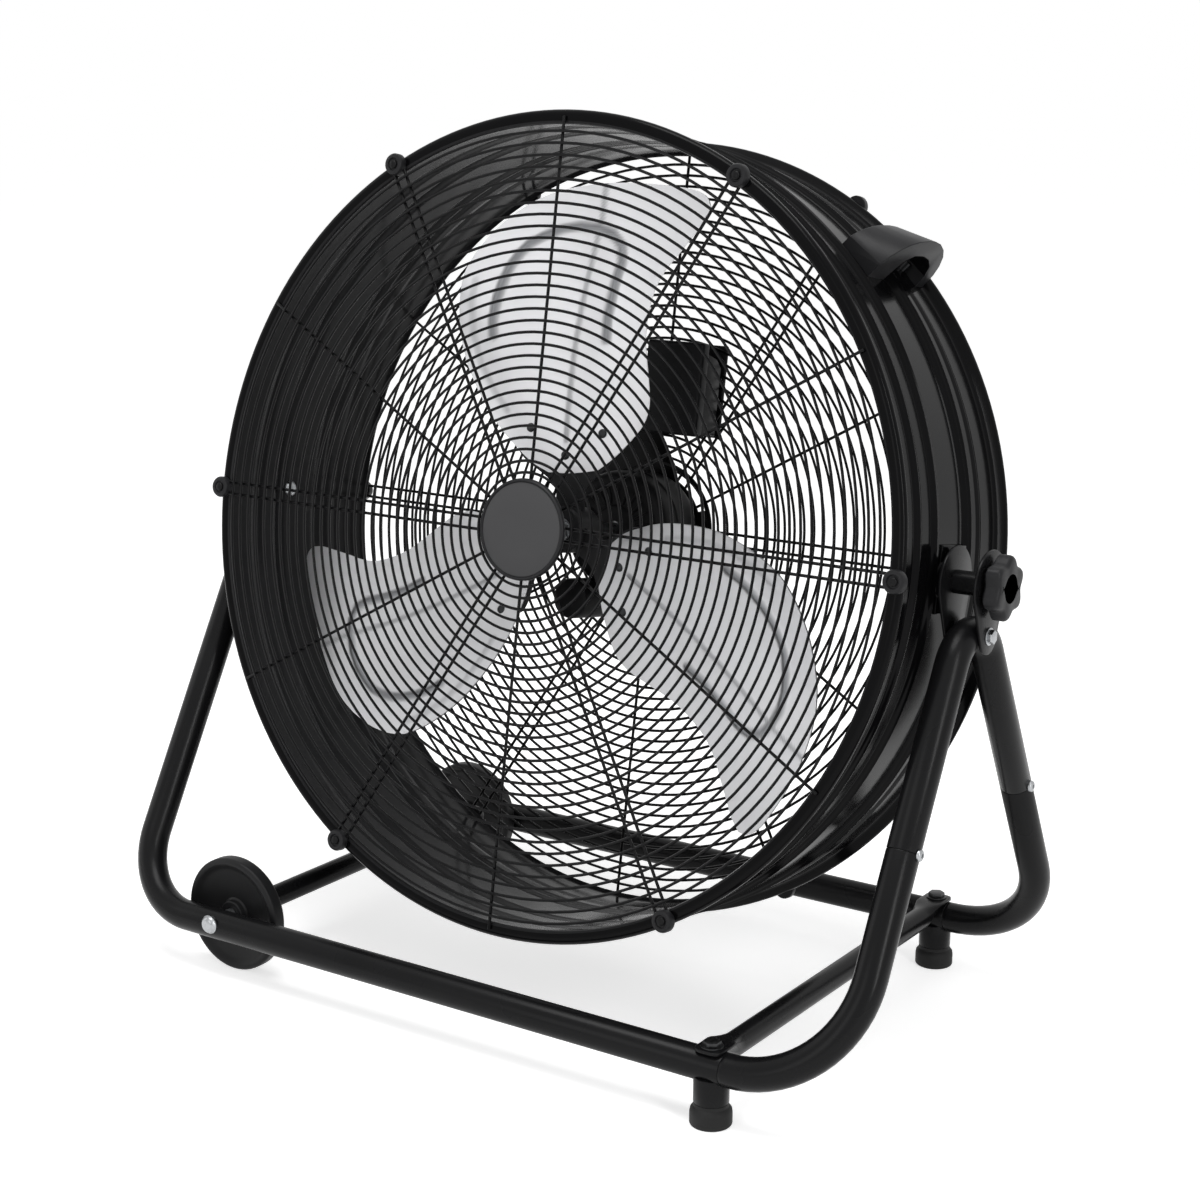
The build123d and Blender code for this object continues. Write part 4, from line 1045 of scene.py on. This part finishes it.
def mount_plate(shape):
    """Pressed plate behind the motor, with an outer ring on arms that rests on the rear guard."""
    low, high = motor_back, drum_back
    disc, ring = motor_radius - 1.0, mount_plate_radius
    for inner, outer in ((10.0, disc), (ring - 3.6, ring)):
        revolve(shape, [(inner + 0.6, low), (outer - 0.6, low), (outer, low + 0.6),
                        (outer, high - 0.6), (outer - 0.6, high), (inner + 0.6, high),
                        (inner, high - 0.6), (inner, low + 0.6)], 96)
    for angle in mount_arm_angles:
        block(shape, (disc - 2.0, low + 0.2, -mount_arm_width / 2),
              (ring - 2.0, high - 0.2, mount_arm_width / 2), 0.6, 2, around(angle))


def box_strap(shape):
    """Web between the motor's plate and the control box, on the front of the rear guard."""
    outline = [(22, 44), (17, 58), (8, 71), (1, 79), (1, 92), (-30, 92), (-46, 74), (-58, 52),
               (-52, 30), (-20, 40)]
    place = Matrix.Translation((0, drum_back - 0.3, 0)) @ Matrix.Rotation(pi / 2, 4, "X")
    plate(shape, outline, 1.8, place, 0.4)


def motor_bolts(shape):
    """Hexagon bolts from behind through the mount plate into the motor."""
    for angle in mount_arm_angles:
        place = around(angle, motor_bolt_circle_radius)
        cylinder(shape, 4.5, drum_back, drum_back + 2.1, 6, place, 0.4)
        cylinder(shape, 3.0, drum_back - 12.0, drum_back + 0.2, 16, place)


def control_box(shape):
    """Moulded box before the rear guard: a tall front, and a body with a lower, sloping top."""
    top = switch_z - box_drop + box_height / 2
    bottom = top - box_height
    left, right = switch_x + box_left, switch_x + box_left + box_width
    low, high = drum_back - box_depth, drum_back
    block(shape, (left, low, bottom), (right, low + 11.0, top), 2.6, 4)
    body = [(low + 9.0, bottom + 1.6), (high, bottom + 1.6), (high, top - 19.0),
            (high - 8.0, top - 12.0), (low + 9.0, top - 8.0)]
    plate(shape, body, box_width - 2.4, Matrix.Translation((left + 1.2, 0, 0)) @ across, 1.4)


def control_cover(shape):
    """Cover outside the rear wires, with rounded edges and a raised field round the knob."""
    middle = switch_z - box_drop
    left = switch_x + box_left
    block(shape, (left, cover_back, middle - box_height / 2),
          (left + box_width, cover_face, middle + box_height / 2), 1.2, 3)
    revolve(shape, [(2.8, cover_back + 1.0), (20.0, cover_back + 1.0), (20.0, cover_face),
                    (19.6, cover_face + 0.2), (2.8, cover_face + 0.2)], 64, at_switch)


def cover_screws(shape):
    """Pan-head screws in the corners of the control cover."""
    for side in (-1, 1):
        for end in (-1, 1):
            x = switch_x + box_left + box_width / 2 + side * (box_width / 2 - 5.0)
            z = switch_z - box_drop + end * (box_height / 2 - 5.0)
            pan_head(shape, 3.0, 2.0, Matrix.Translation((x, cover_face, z)))


def speed_knob(shape):
    """Round knob with a raised grip across it."""
    low = cover_face + 0.3
    r, grip = speed_knob_radius, speed_knob_radius - 1.0
    revolve(shape, [(2.6, low), (r - 0.6, low), (r, low + 0.6), (r, low + 3.6),
                    (r - 0.8, low + 4.8), (r - 2.2, low + 5.2), (2.6, low + 5.2)], 64, at_switch)
    block(shape, (-3.0, low + 3.0, -grip), (3.0, low + 14.0, grip), 1.4, 3, at_switch)


def cord_gland(shape):
    """Ribbed bend relief below the speed knob, where the supply cord enters."""
    low = cover_face
    drop = box_height / 2 - 7.0 - 1.0
    profile = [(4.0, low), (7.0, low), (7.0, low + 3.6), (6.6, low + 4.2)]
    for i in range(4):
        y = low + 4.4 + 1.9 * i
        r = 6.2 - 0.3 * i
        profile += [(r - 0.7, y), (r, y + 0.5), (r, y + 1.2), (r - 0.7, y + 1.6)]
    profile += [(4.0, low + 12.0)]
    revolve(shape, profile, 40, Matrix.Translation((switch_x, 0, switch_z - drop)))


# ---------------------------------------------------------------- putting it together
def build():
    """Draw every piece. A row gives its CAD node, what its name adds, its finish, and its drawing
    function with what that is told."""
    stand = [
        ("left_v_tube", "round", painted_steel, v_tube, -tube_offset_x, left_seam_depth),
        ("right_v_tube", "round", painted_steel, v_tube, tube_offset_x, right_seam_depth),
        ("cross_bar", "round", painted_steel, cross_bar),
        ("foot_sleeves", "round", painted_steel, foot_sleeves),
        ("rubber_feet", "round", rubber, rubber_feet),
        ("axle_tube", "round", painted_steel, axle_tube),
        ("bracket_plates", "round", painted_steel, bracket_plates),
        ("bracket_bolts", "hexagon", zinc, bracket_bolts),
        ("bracket_spacers", "round", painted_steel, bracket_spacers),
        ("pivot_washers", "round", zinc, pivot_washers),
        ("seam_screws", "pan_head", zinc, seam_screws),
        ("axle_cap_nuts", "domed", zinc, axle_cap_nuts),
        ("foot_bolts", "hexagon", dark_zinc, foot_bolts)]
    drum = [
        ("drum_shell", "round", drum_paint, drum_shell),
        ("front_badge", "lip", black_plastic, front_badge),
        ("pivot_bolts", "round_head", zinc, pivot_bolts),
        ("handle_screws", "pan_head", dark_zinc, handle_screws),
        ("pivot_pads", "pressed", drum_paint, pivot_pads),
        ("pad_rivets", "round", drum_paint, pad_rivets),
        ("stator", "stack", hub_steel, stator),
        ("run_capacitor", "crimped", motor_casting, run_capacitor),
        ("motor_mount_plate", "round", painted_steel, mount_plate),
        ("motor_bolts", "hexagon", zinc, motor_bolts),
        ("control_box", "moulded", black_plastic, control_box),
        ("control_cover", "moulded", black_plastic, control_cover),
        ("cover_screws", "pan_head", zinc, cover_screws),
        ("cord_gland", "ribbed", black_plastic, cord_gland)]
    rotor = [
        ("blade_rivets", "round", dark_zinc, blade_rivets),
        ("fan_hub", "pressed", hub_steel, fan_hub),
        ("hub_nut", "chamfered", zinc, hub_nut)]
    for end, seat, side in (("front", drum_front, -1), ("rear", drum_back, 1)):
        stand += [
            (f"{end}_base_tube", "round", painted_steel, base_tube, side, -tube_offset_x,
             left_seam_depth, left_bend_radius),
            (f"{end}_corner_tube", "round", painted_steel, base_tube, side, tube_offset_x,
             right_seam_depth, right_bend_radius)]
        drum += [
            (f"{end}_guard_rings", "round", guard_paint, guard_rings, seat, side),
            (f"{end}_guard_spokes", "round", guard_paint, guard_spokes, seat, side),
            (f"{end}_clips", "round", black_plastic, guard_clips, seat, side),
            (f"{end}_clip_screws", "round", guard_paint, clip_screws, seat, side)]
        piece(f"wheel_{end}_round", wheel_plastic, f"{end}_wheel", [f"wheel_{end}"], in_stand,
              wheel, side)
    for body, place, rows in (
            ("stand", in_stand, stand), ("drum", in_drum, drum), ("rotor", in_drum, rotor),
            ("speed_control", in_drum, [("speed_knob", "moulded", black_plastic, speed_knob)])):
        for part, look, finish, draw, *settings in rows:
            piece(f"{part}_{look}", finish, body, [part], place, draw, *settings)

    piece("front_badge_inlay", badge_plastic, "drum", [], in_drum, badge_face)
    piece("box_strap_pressed", painted_steel, "drum", [], in_drum, box_strap)
    piece("handle_moulded", black_plastic, "drum", ["handle"], in_drum @ around(handle_angle),
          handle)
    for end, closed, inward in (("front", motor_front, 1), ("rear", motor_back, -1)):
        piece(f"motor_{end}_cast", motor_casting, "drum", [f"motor_{end}_shell"], in_drum,
              motor_half, closed, motor_split, inward)
    for index in range(3):
        piece(f"blade_{index + 1}_pressed", aluminium, "rotor", [f"blade_{index + 1}"],
              in_drum @ blade_turn(index), blade, merge=0.001)
    for side, name in ((-1, "left"), (1, "right")):
        turn = Matrix.Rotation(side * pi / 2, 4, "Y") @ Matrix.Translation((0, 0, knob_back_face))
        piece(f"tilt_knob_{name}_star", black_plastic, f"{name}_knob", [f"tilt_knob_{name}"],
              in_drum @ turn, tilt_knob)


def dress_cad_nodes():
    """Give each CAD node that still shows its real finish."""
    finishes = {slot: finish for finish, slot in reversed(slots.items())}
    for part in frame["record"]["subparts"]:
        shown = frame["nodes"][part["node"]]
        shown.data.materials.clear()
        shown.data.materials.append(finishes[part["material_slot"]])


# ---------------------------------------------------------------- floor, light and camera
def seen_directly(tree, lighting, shown, output):
    """Show one shader to the camera, also by way of a mirror or glass, and light with the other."""
    path = node(tree, "ShaderNodeLightPath").outputs
    seen = path["Is Camera Ray"]
    for ray in ("Is Glossy Ray", "Is Transmission Ray"):
        seen = node(tree, "ShaderNodeMath", [(seen, 0), (path[ray], 1)],
                    operation="MAXIMUM").outputs["Value"]
    mix = node(tree, "ShaderNodeMixShader", [(seen, "Fac"), (lighting, 1), (shown, 2)])
    tree.links.new(mix.outputs["Shader"], tree.nodes[output].inputs["Surface"])


def studio():
    """Pale floor, white surroundings for the camera and soft lamps."""
    floor_paint = bpy.data.materials.new("matt white floor")
    floor_paint.use_nodes = True
    tree, shader = principled(floor_paint)
    tree.nodes.remove(shader)
    matt = node(tree, "ShaderNodeBsdfDiffuse", Color=linear("#F4F4F4")).outputs["BSDF"]
    glow = node(tree, "ShaderNodeEmission", Strength=0.62).outputs["Emission"]
    both = node(tree, "ShaderNodeAddShader", [(matt, 0), (glow, 1)]).outputs["Shader"]
    seen_directly(tree, matt, both, "Material Output")
    sheet = bmesh.new()
    bmesh.ops.create_grid(sheet, x_segments=1, y_segments=1, size=30.0)
    mesh = bpy.data.meshes.new("floor")
    sheet.to_mesh(mesh)
    sheet.free()
    mesh.materials.append(floor_paint)
    floor = bpy.data.objects.new("floor", mesh)
    bpy.context.scene.collection.objects.link(floor)

    world = bpy.data.worlds.new("white studio")
    bpy.context.scene.world = world
    world.use_nodes = True
    tree = world.node_tree
    white = tree.nodes["Background"]
    white.inputs["Color"].default_value = (1, 1, 1, 1)
    white.inputs["Strength"].default_value = 1.0
    fill = node(tree, "ShaderNodeBackground", Color=(1, 1, 1, 1), Strength=0.42)
    seen_directly(tree, fill.outputs["Background"], white.outputs["Background"], "World Output")

    for name, place, aim, size, power in (
            ("key softbox", (-0.2, -3.0, 1.15), 0.4, (1.3, 1.3), 8.0),
            ("left softbox", (-2.6, -1.35, 1.3), 0.35, (1.1, 1.7), 5.0),
            ("side softbox", (2.7, -1.2, 1.5), 0.35, (0.4, 2.0), 26.0),
            ("top softbox", (0.0, -0.6, 3.0), 0.3, (1.8, 1.2), 42.0)):
        light = bpy.data.lights.new(name, "AREA")
        light.shape = "RECTANGLE"
        light.size, light.size_y = size
        light.energy = power
        lamp = bpy.data.objects.new(name, light)
        lamp.location = place
        towards = Vector((0, 0, aim)) - Vector(place)
        lamp.rotation_euler = towards.to_track_quat("-Z", "Y").to_euler()
        bpy.context.scene.collection.objects.link(lamp)


def camera():
    """The photograph's camera, fitted to the drum's rims and the stand."""
    azimuth, elevation, roll = radians(34.11), radians(13.17), radians(0.28)
    place = Vector((1020.46, -1481.88, pivot_height + 361.59)) / metre
    back = Vector((sin(azimuth) * cos(elevation), -cos(azimuth) * cos(elevation), sin(elevation)))
    right = Vector((cos(azimuth), sin(azimuth), 0))
    up = back.cross(right)
    right, up = right * cos(roll) + up * sin(roll), up * cos(roll) - right * sin(roll)
    lens = bpy.data.cameras.new("camera")
    lens.sensor_width = 36.0
    lens.lens = 66.95
    eye = bpy.data.objects.new("camera", lens)
    eye.matrix_world = Matrix.Translation(place) @ Matrix((right, up, back)).transposed().to_4x4()
    bpy.context.scene.collection.objects.link(eye)
    bpy.context.scene.camera = eye


dress_cad_nodes()
build()
studio()
camera()
bpy.context.scene.view_settings.view_transform = "Standard"
